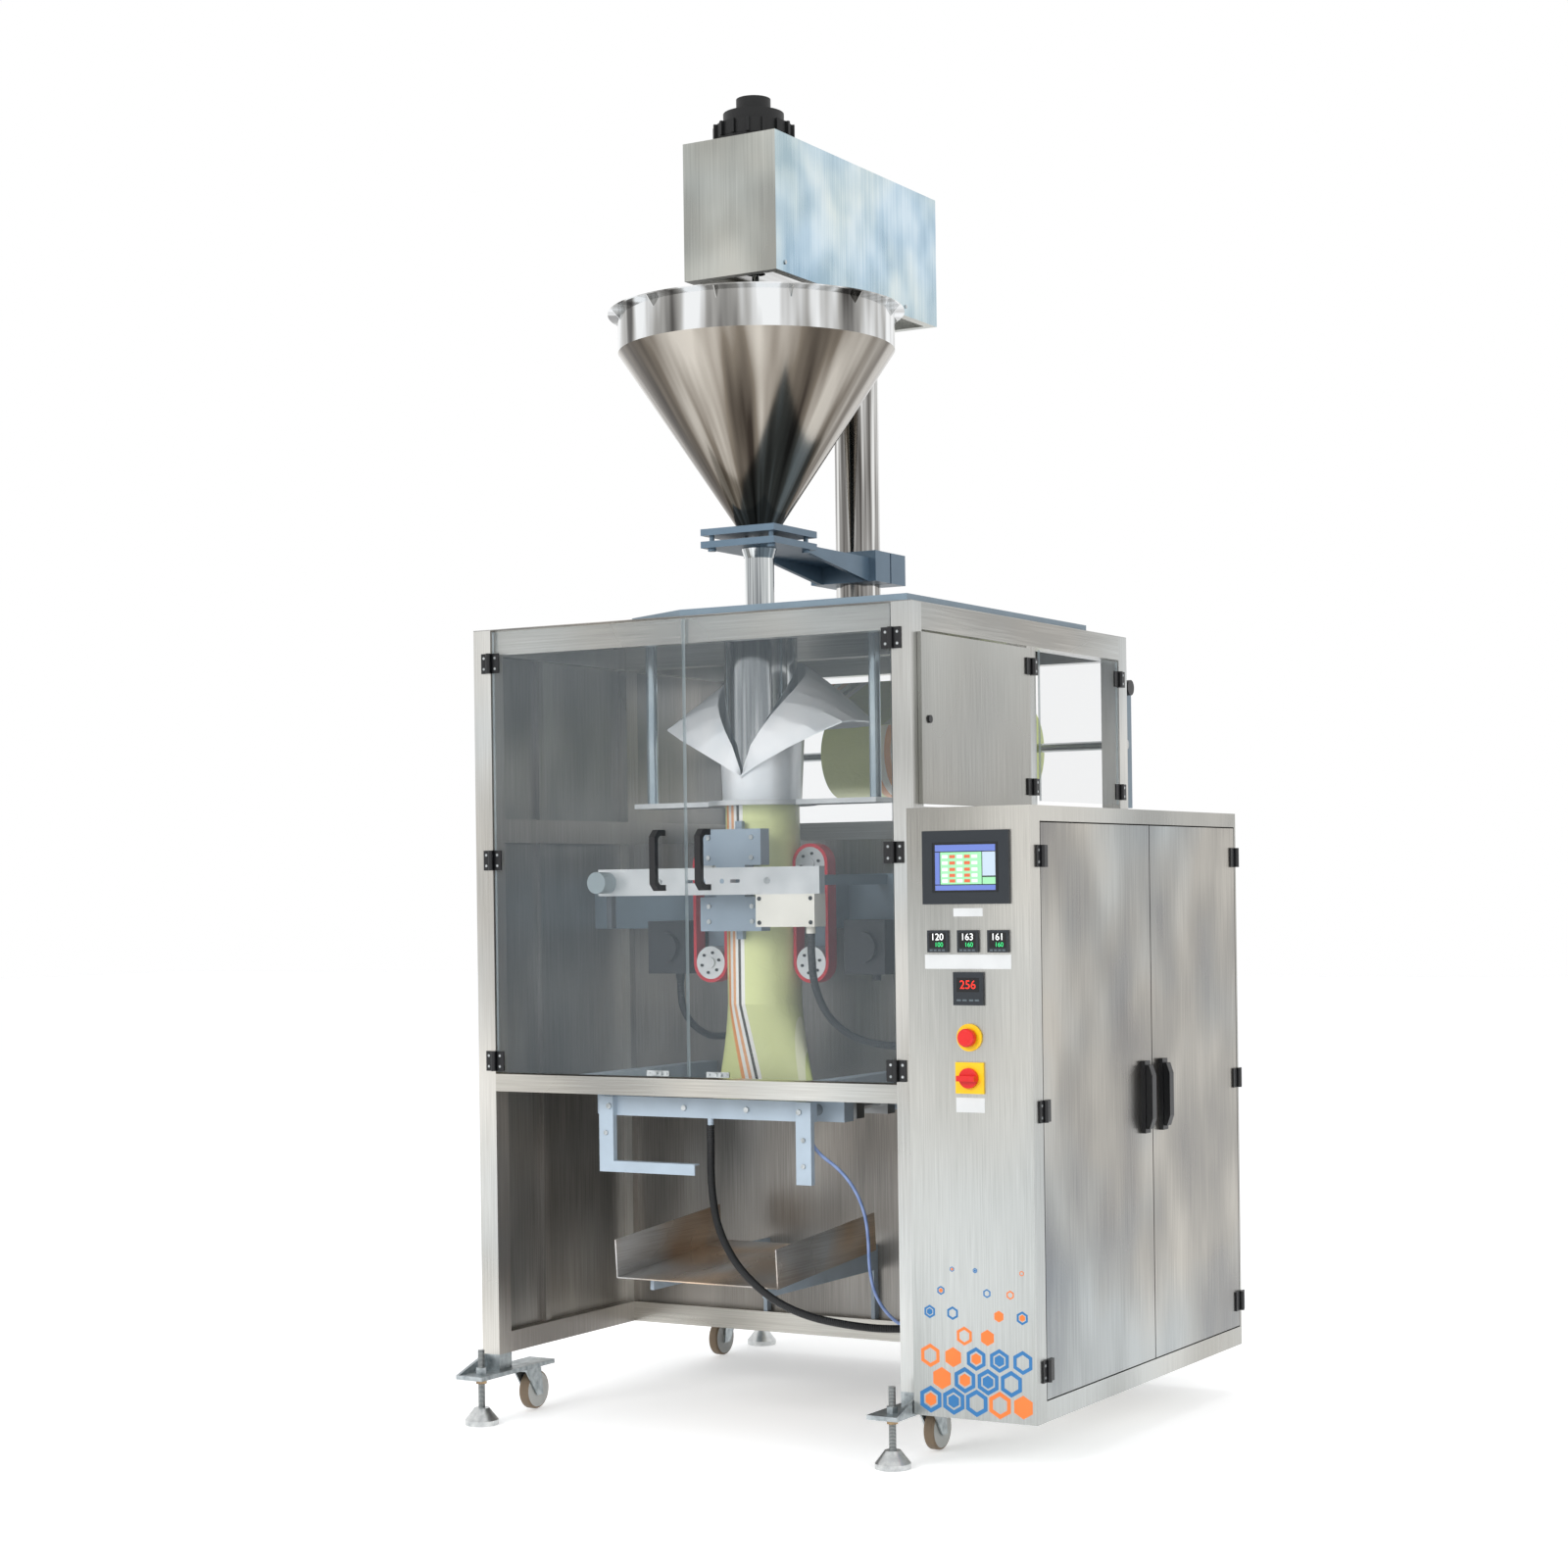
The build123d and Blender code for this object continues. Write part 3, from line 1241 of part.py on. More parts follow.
def electric_units():
    """Mounting plate in the cabinet with drives, controller, supply and terminal rail."""
    x0 = half_width + cabinet_wall
    x1 = x0 + mount_plate_gap
    front = mount_plate_inset - cabinet_front
    back = cabinet_back - mount_plate_inset
    low = cabinet_bottom + mount_plate_inset
    high = cabinet_top - mount_plate_inset
    units = [block(x0, x1, front, back, low, high)]
    pitch = (back - front) / unit_columns
    level = (high - low) / unit_rows
    for row in range(unit_rows):
        for column in range(unit_columns):
            y = front + (column + 0.5) * pitch
            z = low + (row + 0.5) * level
            wide = pitch * unit_width_shares[row] / 2
            tall = level * unit_height_shares[column] / 2
            deep = unit_depth * unit_depth_shares[row]
            units.append(block(x1, x1 + deep, y - wide, y + wide, z - tall, z + tall))
    return units


def hinge_leaves():
    """Fixed leaves with their knuckles for all doors."""
    solids = []
    for z in hinge_heights:
        leaf = block(front_pivot_x, front_pivot_x + leaf_width, -leaf_thick, 0.0, z, z + hinge_length)
        leaf += rod_up(front_pivot_x, front_pivot_y, z, z + hinge_length, knuckle_radius)
        solids += both_sides(leaf)
    for back, depth in [(side_door_back, side_door_depth), (clear_door_back, clear_door_thick)]:
        pivot_x = half_width + free_gap + depth + knuckle_radius
        pivot_y = back + knuckle_radius
        for z in side_hinge_heights:
            leaf = block(half_width, pivot_x, pivot_y + leaf_thick / 2, pivot_y + leaf_width + leaf_thick,
                         z, z + side_hinge_length)
            leaf += rod_up(pivot_x, pivot_y, z, z + side_hinge_length, knuckle_radius)
            solids.append(leaf)
    for y, way in [(cabinet_pivot_front, -1), (cabinet_pivot_back, 1)]:
        for z in cabinet_hinge_heights:
            leaf = block(cabinet_x, cabinet_x + leaf_thick, y, y + way * leaf_width, z, z + hinge_length)
            leaf += rod_up(cabinet_pivot_x, y, z, z + hinge_length, knuckle_radius)
            solids.append(leaf)
    return solids


def front_door():
    """Clear panel with a bow handle and three hinge leaves, on the right side."""
    back = front_door_lap + front_door_thick
    panel = block(front_door_lap, inner_x - door_gap, front_door_lap, back, front_door_bottom,
                  front_door_top)
    low, high = handle_bottom, handle_bottom + handle_length
    near, far = front_door_lap, front_door_lap - handle_reach
    bow = Polyline((near, low), (far + handle_width, low), (far, low + handle_width),
                   (far, high - handle_width), (far + handle_width, high), (near, high),
                   (near, high - handle_grip), (far + handle_width + handle_grip / 2, high - handle_grip),
                   (far + handle_grip, high - handle_grip - handle_grip / 2),
                   (far + handle_grip, low + handle_grip + handle_grip / 2),
                   (far + handle_width + handle_grip / 2, low + handle_grip), (near, low + handle_grip),
                   close=True)
    grip = Pos(handle_x, 0, 0) * extrude(Plane.YZ * make_face(bow), handle_width / 2, both=True)
    solids = [panel, grip]
    edge = front_pivot_x - hinge_nip
    for z in hinge_heights:
        solids.append(block(edge - leaf_width, edge, front_door_lap - leaf_thick, front_door_lap,
                            z, z + hinge_length))
    return solids


def side_door_solid():
    """Folded door pan on the right side, with hinge leaves and a round key lock."""
    x0 = half_width + free_gap
    x1 = x0 + side_door_depth
    pan = block(x0, x1, side_door_front, side_door_back, side_door_bottom, side_door_top)
    pan -= block(x0 - overrun, x1 - door_sheet, side_door_front + door_sheet, side_door_back - door_sheet,
                 side_door_bottom + door_sheet, side_door_top - door_sheet)
    lock_y = side_door_front + lock_inset
    solids = [pan, rod_right(lock_y, lock_z, x1, x1 + leaf_thick, lock_radius)]
    for z in side_hinge_heights:
        solids.append(block(x1, x1 + leaf_thick, side_door_back - leaf_width, side_door_back,
                            z, z + side_hinge_length))
    return solids


def side_door_clear():
    """Clear door over the film chamber, with hinge leaves."""
    x0 = half_width + free_gap
    x1 = x0 + clear_door_thick
    panel = block(x0, x1, clear_door_front, clear_door_back, clear_door_bottom, side_door_top)
    solids = [panel]
    for z in side_hinge_heights:
        solids.append(block(x1, x1 + leaf_thick, clear_door_back - leaf_width,
                            clear_door_back, z, z + side_hinge_length))
    return solids


def film_reel():
    """Roll of film on its shaft."""
    roll = rod_right(reel_y, reel_z, -reel_half_width, reel_half_width, reel_radius)
    end = reel_plate_x + reel_plate_thick
    shaft = rod_right(reel_y, reel_z, -end, end, reel_shaft_radius)
    flange = reel_half_width + rib_depth
    core = rod_right(reel_y, reel_z, -flange, flange, reel_core_radius)
    return roll + shaft + core


def film_roller():
    """Deflection roller on its pins."""
    roller = rod_right(roller_y, roller_z, -roller_half_width, roller_half_width, roller_radius)
    end = roller_half_width + seat_gap + hanger_thick
    return roller + rod_right(roller_y, roller_z, -end, end, roller_pin_radius)


def cord(points, radius, name):
    """Round tube of straight runs joined by tangent arcs, with its own ends."""
    runs = [(Vector(*b) - Vector(*a)) for a, b in zip(points, points[1:])]
    pieces = []
    start = Vector(*points[0])
    radii = []
    for before, after, corner in zip(runs, runs[1:], points[1:]):
        turn = math.radians(before.get_angle(after))
        reach = cord_share * min(before.length, after.length)
        radii.append(reach / math.tan(turn / 2))
        enter = Vector(*corner) - before.normalized() * reach
        leave = Vector(*corner) + after.normalized() * reach
        pieces.append(Line(start, enter))
        pieces.append(TangentArc(enter, leave, tangent=before.normalized()))
        start = leave
    pieces.append(Line(start, Vector(*points[-1])))
    path = Wire(pieces)
    section = Plane(origin=path @ 0, z_dir=path % 0) * Circle(radius)
    tube = sweep(section, path=path)
    ideal = math.pi * radius ** 2 * path.length
    print(f"{name}: length {path.length:.0f}, radii {min(radii):.0f} to {max(radii):.0f}, "
          f"volume share {tube.volume / ideal:.4f}, runs {min(r.length for r in runs):.0f} to "
          f"{max(r.length for r in runs):.0f}")
    return tube


def write_frame():
    """Body frame, roof and panels."""
    save(frame_posts(), "frame_posts")
    save(frame_rails(), "frame_rails")
    save(frame_panels(), "frame_panels")
    save([roof_plate(), belt_frame()] + reel_brackets(), "painted_plates")
    save(foot_plates(), "foot_plates")
    save(hinge_leaves(), "hinge_leaves")


def write_filler():
    """Column, hopper, auger and drive."""
    save(filler_column(), "filler_column")
    save(column_clamp(), "column_clamp")
    save(hopper(), "hopper")
    save(auger_tube(), "auger_tube")
    save(auger(), "auger")
    save(drive_box(), "drive_box")
    save(drive_motor(), "drive_motor")


def write_forming():
    """Collar, tube, film, belts and vertical seal."""
    save(collar_stand(), "collar_stand")
    save(forming_collar(), "forming_collar")
    save(forming_tube(), "forming_tube")
    save(film(), "film")
    save(belt_gearboxes(), "belt_gearboxes")
    save(pull_belts(), "pull_belts")
    save(pulley(-pulley_x, pulley_high_z), "pulley_left_upper")
    save(pulley(-pulley_x, pulley_low_z), "pulley_left_lower")
    save(pulley(pulley_x, pulley_high_z), "pulley_right_upper")
    save(pulley(pulley_x, pulley_low_z), "pulley_right_lower")
    save(seal_arm(), "seal_arm")
    save(vertical_sealer(), "vertical_sealer")
    save(junction_box(), "junction_box")
    save(film_reel(), "film_reel")
    save(film_roller(), "film_roller")


def write_lower():
    """Jaws and discharge chute."""
    save(jaw_yoke() + jaw_supports() + chute_brackets(), "jaw_frame")
    save(jaw_shafts(), "jaw_shafts")
    save([jaw(axis_y - jaw_half_gap, -1), knife()], "front_jaw")
    save(jaw(axis_y + jaw_half_gap, 1), "rear_jaw")
    save(discharge_chute(), "discharge_chute")


def write_doors():
    """Doors of the body and of the cabinet."""
    right = front_door()
    save([mirror(solid, about=Plane.YZ) for solid in right], "front_door_left")
    save(right, "front_door_right")
    save(side_door_solid(), "side_door_solid")
    save(side_door_clear(), "side_door_clear")
    gap = door_gap / 2
    first = cabinet_door_join - lock_base_inset
    second = cabinet_door_join + lock_base_inset
    save(cabinet_door(cabinet_door_front, cabinet_door_join - gap, True, first), "cabinet_door_front")
    save(cabinet_door(cabinet_door_join + gap, cabinet_door_back, False, second), "cabinet_door_rear")
    save(swing_handle(first), "swing_handle_front")
    save(swing_handle(second), "swing_handle_rear")


def write_cabinet():
    """Electrical cabinet with its instruments and switches."""
    save(cabinet_shell(), "cabinet_shell")
    save(panel_instruments(), "panel_instruments")
    save(emergency_stop(), "emergency_stop")
    save(main_switch(), "main_switch")
    save(electric_units(), "electric_units")


def write_feet():
    """Levelling feet and casters."""
    foot = levelling_foot()
    save(mirror(foot, about=Plane.YZ), "foot_front_left")
    save(foot, "foot_front_right")
    save(from_back(mirror(foot, about=Plane.YZ)), "foot_rear_left")
    save(from_back(foot), "foot_rear_right")
    front_fork = fork(caster_y, caster_trail)
    save(mirror(front_fork, about=Plane.YZ), "caster_fork_left")
    save(front_fork, "caster_fork_right")
    front_wheel = wheel(caster_y + caster_trail)
    rear_wheel = from_back(front_wheel)
    save(mirror(front_wheel, about=Plane.YZ), "wheel_front_left")
    save(front_wheel, "wheel_front_right")
    save(mirror(rear_wheel, about=Plane.YZ), "wheel_rear_left")
    save(rear_wheel, "wheel_rear_right")


def write_cords():
    """Hoses and tubes, each from its gland on one piece to its gland on another."""
    save(cord(to_side(hose_right_route), hose_radius, "hose_right"), "hose_right")
    save(cord(to_wall(hose_left_route), hose_radius, "hose_left"), "hose_left")
    save(cord(to_side(conduit_route), conduit_radius, "conduit"), "conduit")
    save(cord(to_side(air_tube_route), air_tube_radius, "air_tube"), "air_tube")


write_frame()
write_filler()
write_forming()
write_lower()
write_doors()
write_cabinet()
write_feet()
write_cords()
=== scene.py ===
import math

import bmesh
import bpy
from mathutils import Matrix, Vector


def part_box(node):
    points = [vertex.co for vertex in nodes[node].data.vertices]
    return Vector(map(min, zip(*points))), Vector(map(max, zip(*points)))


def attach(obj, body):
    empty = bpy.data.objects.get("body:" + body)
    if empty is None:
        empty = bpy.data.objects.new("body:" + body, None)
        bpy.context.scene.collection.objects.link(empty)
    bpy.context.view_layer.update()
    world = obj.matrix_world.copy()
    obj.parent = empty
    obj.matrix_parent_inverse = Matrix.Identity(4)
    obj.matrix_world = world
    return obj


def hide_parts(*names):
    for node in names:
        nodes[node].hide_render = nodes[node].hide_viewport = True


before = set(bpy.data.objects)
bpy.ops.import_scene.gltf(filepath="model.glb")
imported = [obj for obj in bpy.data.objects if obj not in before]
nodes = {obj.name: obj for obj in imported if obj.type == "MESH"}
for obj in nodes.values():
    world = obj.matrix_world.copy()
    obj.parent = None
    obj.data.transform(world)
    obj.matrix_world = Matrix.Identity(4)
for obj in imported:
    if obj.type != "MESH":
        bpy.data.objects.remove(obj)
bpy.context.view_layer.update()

# Camera: level, a long normal lens, with the frame shifted up so that the posts stay upright.
# Azimuth, height and distance follow the body's corners; the picture leans by under one degree.
# Sizes here are millimetres from the body's middle and front; datum moves them to the footprint's middle.
datum = Vector((163.25, 630.0, 0.0))


def metres(x, y, z):
    """A place on the machine, in metres of the shared frame."""
    return (Vector((x, y, z)) - datum) / 1000


camera_azimuth = math.radians(30.511)
camera_roll = math.radians(0.751)
camera_place = metres(3466.164, -5430.481, 1275.315)
camera_data = bpy.data.cameras.new("camera")
camera_data.sensor_width = 36.0
camera_data.lens = 63.75
camera_data.shift_y = 0.0671
camera = bpy.data.objects.new("camera", camera_data)
bpy.context.scene.collection.objects.link(camera)
flat_right = Vector((math.cos(camera_azimuth), math.sin(camera_azimuth), 0.0))
view_line = Vector((-math.sin(camera_azimuth), math.cos(camera_azimuth), 0.0))
camera_right = flat_right * math.cos(camera_roll) - Vector((0, 0, math.sin(camera_roll)))
camera_up = flat_right * math.sin(camera_roll) + Vector((0, 0, math.cos(camera_roll)))
camera.matrix_world = Matrix((camera_right, camera_up, -view_line)).transposed().to_4x4()
camera.location = camera_place
bpy.context.scene.camera = camera


# Rubber hoses and tubes. Each is one fixed length from the gland on one piece to the gland on another,
# hanging in a loose curve. Three are black corrugated conduit, the thin one is pale blue air tube.
def linear(hex_colour):
    """sRGB hex text to linear red, green, blue and alpha."""
    parts = [int(hex_colour[at:at + 2], 16) / 255 for at in (1, 3, 5)]
    return [c / 12.92 if c <= 0.04045 else ((c + 0.055) / 1.055) ** 2.4 for c in parts] + [1.0]


def set_inputs(tree, node, inputs):
    """Gives each named socket of a node its value, or a link from another node's output."""
    for key, value in inputs.items():
        if isinstance(value, bpy.types.NodeSocket):
            tree.links.new(value, node.inputs[key])
        else:
            node.inputs[key].default_value = value


def add_node(tree, kind, settings=None, inputs=None, stops=()):
    """Adds a shader node with its settings and inputs; stops are a ramp's places and hex colours."""
    node = tree.nodes.new(kind)
    for key, value in (settings or {}).items():
        setattr(node, key, value)
    set_inputs(tree, node, inputs or {})
    if stops:
        elements = node.color_ramp.elements
        while len(elements) < len(stops):
            elements.new(1.0)
        for element, (place, colour) in zip(elements, stops):
            element.position = place
            element.color = linear(colour)
    return node


def start_material(name):
    """A new node material with its Principled shader."""
    material = bpy.data.materials.new(name)
    material.use_nodes = True
    tree = material.node_tree
    return material, tree, tree.nodes["Principled BSDF"]


# A wave texture of this scale has one band to each unit of its coordinates
band_scale = 0.31416


def hose_rubber(name, tones, length_mm, pitch_mm, ring_depth):
    """Extruded hose wall; the ring bump gives the grooves of corrugated conduit, and the tint paints them
    dark, painted shade in the grooves.
    """
    material, tree, shader = start_material(name)
    place = add_node(tree, "ShaderNodeTexCoord").outputs
    spread = add_node(tree, "ShaderNodeMapping",
                      inputs={"Vector": place["UV"], "Scale": (length_mm / pitch_mm, 0, 0)})
    rings = add_node(tree, "ShaderNodeTexWave", {"wave_type": "BANDS", "bands_direction": "X"},
                     {"Vector": spread.outputs["Vector"], "Scale": band_scale, "Distortion": 0.0})
    bump = add_node(tree, "ShaderNodeBump",
                    inputs={"Height": rings.outputs["Fac"], "Strength": ring_depth, "Distance": 0.002})
    # The first tone falls in the grooves, the second on the ribs: painted shade in the grooves; on the air
    # tube, which has no grooves, they are faint bands of tone.
    tint = add_node(tree, "ShaderNodeValToRGB", inputs={"Fac": rings.outputs["Fac"]},
                    stops=[(0.0, tones[0]), (1.0, tones[1])])
    set_inputs(tree, shader, {"Normal": bump.outputs["Normal"], "Base Color": tint.outputs["Color"],
                              "Roughness": 0.42})
    return material


def lay_cord(name, cad_node, route_mm, diameter_mm, material):
    """One hose along its route from part.py, with the route's points as control points."""
    curve = bpy.data.curves.new(name, "CURVE")
    curve.dimensions = "3D"
    curve.bevel_depth = diameter_mm / 2000
    curve.bevel_resolution = 5
    curve.resolution_u = 12
    curve.use_fill_caps = True
    spline = curve.splines.new("NURBS")
    spline.points.add(len(route_mm) - 1)
    for point, at in zip(spline.points, route_mm):
        point.co = (*metres(*at), 1.0)
    spline.order_u = 3
    spline.use_endpoint_u = True
    curve.materials.append(material)
    hose = bpy.data.objects.new(name, curve)
    bpy.context.scene.collection.objects.link(hose)
    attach(hose, "base")
    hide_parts(cad_node)


hose_right_route = [(252, 144, 1172), (252, 144, 1112), (256, 151, 1046), (276, 168, 982), (318, 196, 934),
                    (378, 232, 910), (440, 266, 908), (500, 288, 922), (559, 288, 922)]
hose_left_route = [(-279, 410, 1054), (-279, 410, 1005), (-277, 425, 969), (-271, 453, 938),
                   (-263, 491, 916), (-258, 536, 904), (-258, 599, 904)]
conduit_route = [(8, 85, 725), (8, 85, 672), (10, 80, 616), (20, 70, 560), (42, 50, 506), (78, 28, 456),
                 (125, 10, 408), (182, 2, 364), (245, 4, 328), (310, 24, 302), (376, 58, 286),
                 (440, 98, 275), (500, 128, 275), (559, 128, 275)]
air_tube_route = [(276, 85, 731), (276, 85, 696), (298, 96, 663), (334, 114, 634), (366, 132, 588),
                  (384, 148, 528), (385, 160, 466), (380, 170, 402), (386, 182, 340), (412, 198, 290),
                  (452, 216, 258), (506, 224, 248), (559, 224, 248)]
hose_right_length, hose_left_length, conduit_length, air_tube_length = 530, 283, 857, 657
conduit_diameter, air_tube_diameter = 18, 8
conduit_pitch, air_tube_pitch = 4, 40
# Groove and rib tones of the conduit: the darker one is painted shade in the grooves.
hose_tones_with_groove_shade, conduit_tones_with_groove_shade = ("#0b0c0e", "#2c3034"), ("#040405", "#1a1c1f")
air_tube_tones = ("#7d93c4", "#8ea3d2")
for side, route, length in [("right", hose_right_route, hose_right_length),
                            ("left", hose_left_route, hose_left_length)]:
    lay_cord(f"hose_{side}_tube", f"hose_{side}", route, conduit_diameter,
             hose_rubber(f"corrugated_hose_{side}", hose_tones_with_groove_shade, length, conduit_pitch, 0.5))
lay_cord("conduit_tube", "conduit", conduit_route, conduit_diameter,
         hose_rubber("corrugated_conduit", conduit_tones_with_groove_shade, conduit_length, conduit_pitch, 0.6))
lay_cord("air_tube_clear", "air_tube", air_tube_route, air_tube_diameter,
         hose_rubber("polyurethane_tube", air_tube_tones, air_tube_length, air_tube_pitch, 0.0))


# Studio: a pale floor that keeps the shadow, a white surround that metal and glass show too,
# and three soft lamps for the form. The surround lights matt faces at about six tenths of white.
def seen_directly(tree):
    """One for rays from the camera, through glass and off glossy faces; zero for those that light."""
    rays = add_node(tree, "ShaderNodeLightPath")
    sharp = add_node(tree, "ShaderNodeMath", {"operation": "MAXIMUM"},
                     {0: rays.outputs["Is Camera Ray"], 1: rays.outputs["Is Transmission Ray"]})
    seen = add_node(tree, "ShaderNodeMath", {"operation": "MAXIMUM"},
                    {0: sharp.outputs[0], 1: rays.outputs["Is Glossy Ray"]})
    return seen.outputs[0]


surround_light = (0.6, 0.61, 0.63, 1.0)
surround_white = (1.0, 1.0, 1.0, 1.0)
# Lamps: width in metres, power in watts, place, and the point that each looks at
lamps = {
    "key": (3.0, 210.0, (-1.2, -6.0, 3.4), (-0.16, -0.3, 1.2)),
    "fill": (3.5, 95.0, (5.0, -2.4, 2.6), (0.14, -0.2, 1.3)),
    "top": (3.0, 60.0, (0.3, 0.9, 6.0), (-0.1, -0.1, 1.5)),
}
floor_half_width = 30.0
floor_drop = 0.0005
floor_glow = 0.42


def studio():
    """The white surround and the three lamps."""
    scene = bpy.context.scene
    scene.view_settings.view_transform = "Standard"
    world = bpy.data.worlds.new("studio")
    world.use_nodes = True
    scene.world = world
    tree = world.node_tree
    colour = add_node(tree, "ShaderNodeMix", {"data_type": "RGBA"},
                      {"Factor": seen_directly(tree), "A": surround_light, "B": surround_white})
    set_inputs(tree, tree.nodes["Background"], {"Color": colour.outputs["Result"], "Strength": 1.0})
    for name, (width, power, at, aim) in lamps.items():
        data = bpy.data.lights.new(name, "AREA")
        data.shape = "SQUARE"
        data.size = width
        data.energy = power
        lamp = bpy.data.objects.new(name, data)
        lamp.visible_glossy = False
        scene.collection.objects.link(lamp)
        lamp.location = at
        lamp.rotation_euler = (Vector(aim) - Vector(at)).to_track_quat("-Z", "Y").to_euler()


def studio_floor():
    """The pale floor, half a millimetre under the feet; its glow lifts it to the surround's white."""
    material, tree, shader = start_material("pale_floor")
    lift = add_node(tree, "ShaderNodeMath", {"operation": "MULTIPLY"},
                    {0: seen_directly(tree), 1: floor_glow})
    set_inputs(tree, shader, {"Base Color": linear("#f4f4f3"), "Roughness": 0.7, "Specular IOR Level": 0.2,
                              "Emission Color": linear("#ffffff"), "Emission Strength": lift.outputs[0]})
    bm = bmesh.new()
    bmesh.ops.create_grid(bm, x_segments=1, y_segments=1, size=floor_half_width)
    bmesh.ops.translate(bm, vec=(0, 0, -floor_drop), verts=bm.verts)
    mesh = bpy.data.meshes.new("floor")
    bm.to_mesh(mesh)
    bm.free()
    mesh.materials.append(material)
    floor = bpy.data.objects.new("floor", mesh)
    bpy.context.scene.collection.objects.link(floor)


studio()
studio_floor()


# Body: welded square tube and 2 mm sheet of stainless steel, wiped with an abrasive pad along the length.
# Side rails and cross rails are one node, so each face takes the grain that runs along its own tube.
streak_length = 70
streak_share = 0.3
blotch_share = 0.42


def brushed_stainless(name, tones, along, roughness=0.3, grain_mm=3.0, cloud_mm=260.0,
                      stains=("#fffcf8", "#f1f5f8"), stretch=2.2, metallic=1.0):
    """Pad-brushed sheet: fine streaks along one way, soft clouds, warm and cool handling stains.

    The streaks are drawn wider than a pad's, which are too fine to show in the render."""
    material, tree, shader = start_material(name)
    place = add_node(tree, "ShaderNodeTexCoord").outputs
    fine = [1000 / grain_mm] * 3
    wide = [1000 / cloud_mm] * 3
    fine["XYZ".index(along)] /= streak_length
    wide["XYZ".index(along)] /= stretch
    streak_map = add_node(tree, "ShaderNodeMapping", inputs={"Vector": place["Object"], "Scale": fine})
    streaks = add_node(tree, "ShaderNodeTexNoise",
                       inputs={"Vector": streak_map.outputs["Vector"], "Scale": 1.0, "Detail": 3.0,
                               "Roughness": 0.6})
    cloud_map = add_node(tree, "ShaderNodeMapping", inputs={"Vector": place["Object"], "Scale": wide})
    clouds = add_node(tree, "ShaderNodeTexNoise",
                      inputs={"Vector": cloud_map.outputs["Vector"], "Scale": 1.0, "Detail": 1.5,
                              "Roughness": 0.4})
    blotches = add_node(tree, "ShaderNodeTexNoise",
                        inputs={"Vector": place["Object"], "Scale": blotch_share * 1000 / cloud_mm,
                                "Detail": 2.5})
    grain = add_node(tree, "ShaderNodeMath", {"operation": "MULTIPLY"},
                     {0: streaks.outputs["Fac"], 1: streak_share})
    total = add_node(tree, "ShaderNodeMath", {"operation": "MULTIPLY_ADD"},
                     {0: clouds.outputs["Fac"], 1: 1 - streak_share, 2: grain.outputs[0]})
    tint = add_node(tree, "ShaderNodeValToRGB", inputs={"Fac": total.outputs[0]},
                    stops=[(0.36, tones[0]), (0.5, tones[1]), (0.64, tones[2])])
    stain = add_node(tree, "ShaderNodeValToRGB", inputs={"Fac": blotches.outputs["Fac"]},
                     stops=[(0.38, stains[0]), (0.62, stains[1])])
    mixed = add_node(tree, "ShaderNodeMix", {"data_type": "RGBA", "blend_type": "MULTIPLY"},
                     {"Factor": 1.0, "A": tint.outputs["Color"], "B": stain.outputs["Color"]})
    gloss = add_node(tree, "ShaderNodeMapRange",
                     inputs={"Value": clouds.outputs["Fac"], "From Min": 0.3, "From Max": 0.7,
                             "To Min": roughness - 0.06, "To Max": roughness + 0.06})
    bump = add_node(tree, "ShaderNodeBump",
                    inputs={"Height": streaks.outputs["Fac"], "Strength": 0.05, "Distance": 0.0005})
    set_inputs(tree, shader, {"Base Color": mixed.outputs["Result"], "Roughness": gloss.outputs["Result"],
                              "Normal": bump.outputs["Normal"], "Metallic": metallic})
    return material


def node_box(name):
    """The lowest and the highest corner of a CAD node, in millimetres on the machine."""
    return [Vector(corner) * 1000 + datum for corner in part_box(name)]


def finish_node(name, *layers):
    """Gives a CAD node its materials; a layer may carry a test of a face's middle and normal."""
    mesh = nodes[name].data
    mesh.materials.clear()
    for slot, layer in enumerate(layers):
        material, test = layer if isinstance(layer, tuple) else (layer, None)
        mesh.materials.append(material)
        for face in mesh.polygons:
            if test is None or test(face.center * 1000 + datum, face.normal):
                face.material_index = slot


tube_upright = brushed_stainless("stainless_tube_upright", ("#aeaca7", "#c9c8c4", "#e0e0dd"), "Z")
tube_cross = brushed_stainless("stainless_tube_cross", ("#a5a39e", "#c0bfba", "#dadad6"), "X")
tube_side = brushed_stainless("stainless_tube_side", ("#a09e99", "#bbb9b4", "#d6d5d1"), "Y")
# The inner copy of the tube takes darker tones of the same steel: painted shade inside the body.
tube_inner_shade = brushed_stainless("stained_and_shaded_tube_inside", ("#8a8784", "#a5a29f", "#bebbb7"), "Z",
                               roughness=0.34, metallic=0.8)
sheet_outer = brushed_stainless("stainless_sheet_outside", ("#a19f9b", "#bab8b4", "#d2d1ce"), "Z",
                                roughness=0.32)
# The inner copy of the sheet takes darker tones of the same steel: painted shade inside the body.
sheet_inner_shade = brushed_stainless("stained_and_shaded_sheet_inside", ("#73716e", "#94918d", "#b1aeaa"), "Z",
                                roughness=0.34, grain_mm=3.0, cloud_mm=200.0, metallic=0.75)
body_side, body_back = node_box("frame_posts")[1].xy
tube_width = 50.0
side_zone = body_side - tube_width - 5.0
rear_sheet_zone = body_back - 24.0
front_half = 700.0


def faces_inwards(at, facing):
    """True on a side or rear sheet's inner face, and on the sheets inside the body; these take the painted
    shade.
    """
    if abs(at.x) > side_zone and abs(facing.x) > 0.5:
        return at.x * facing.x < 0
    return not (at.y > rear_sheet_zone and facing.y > 0.5) and facing.z < 0.5


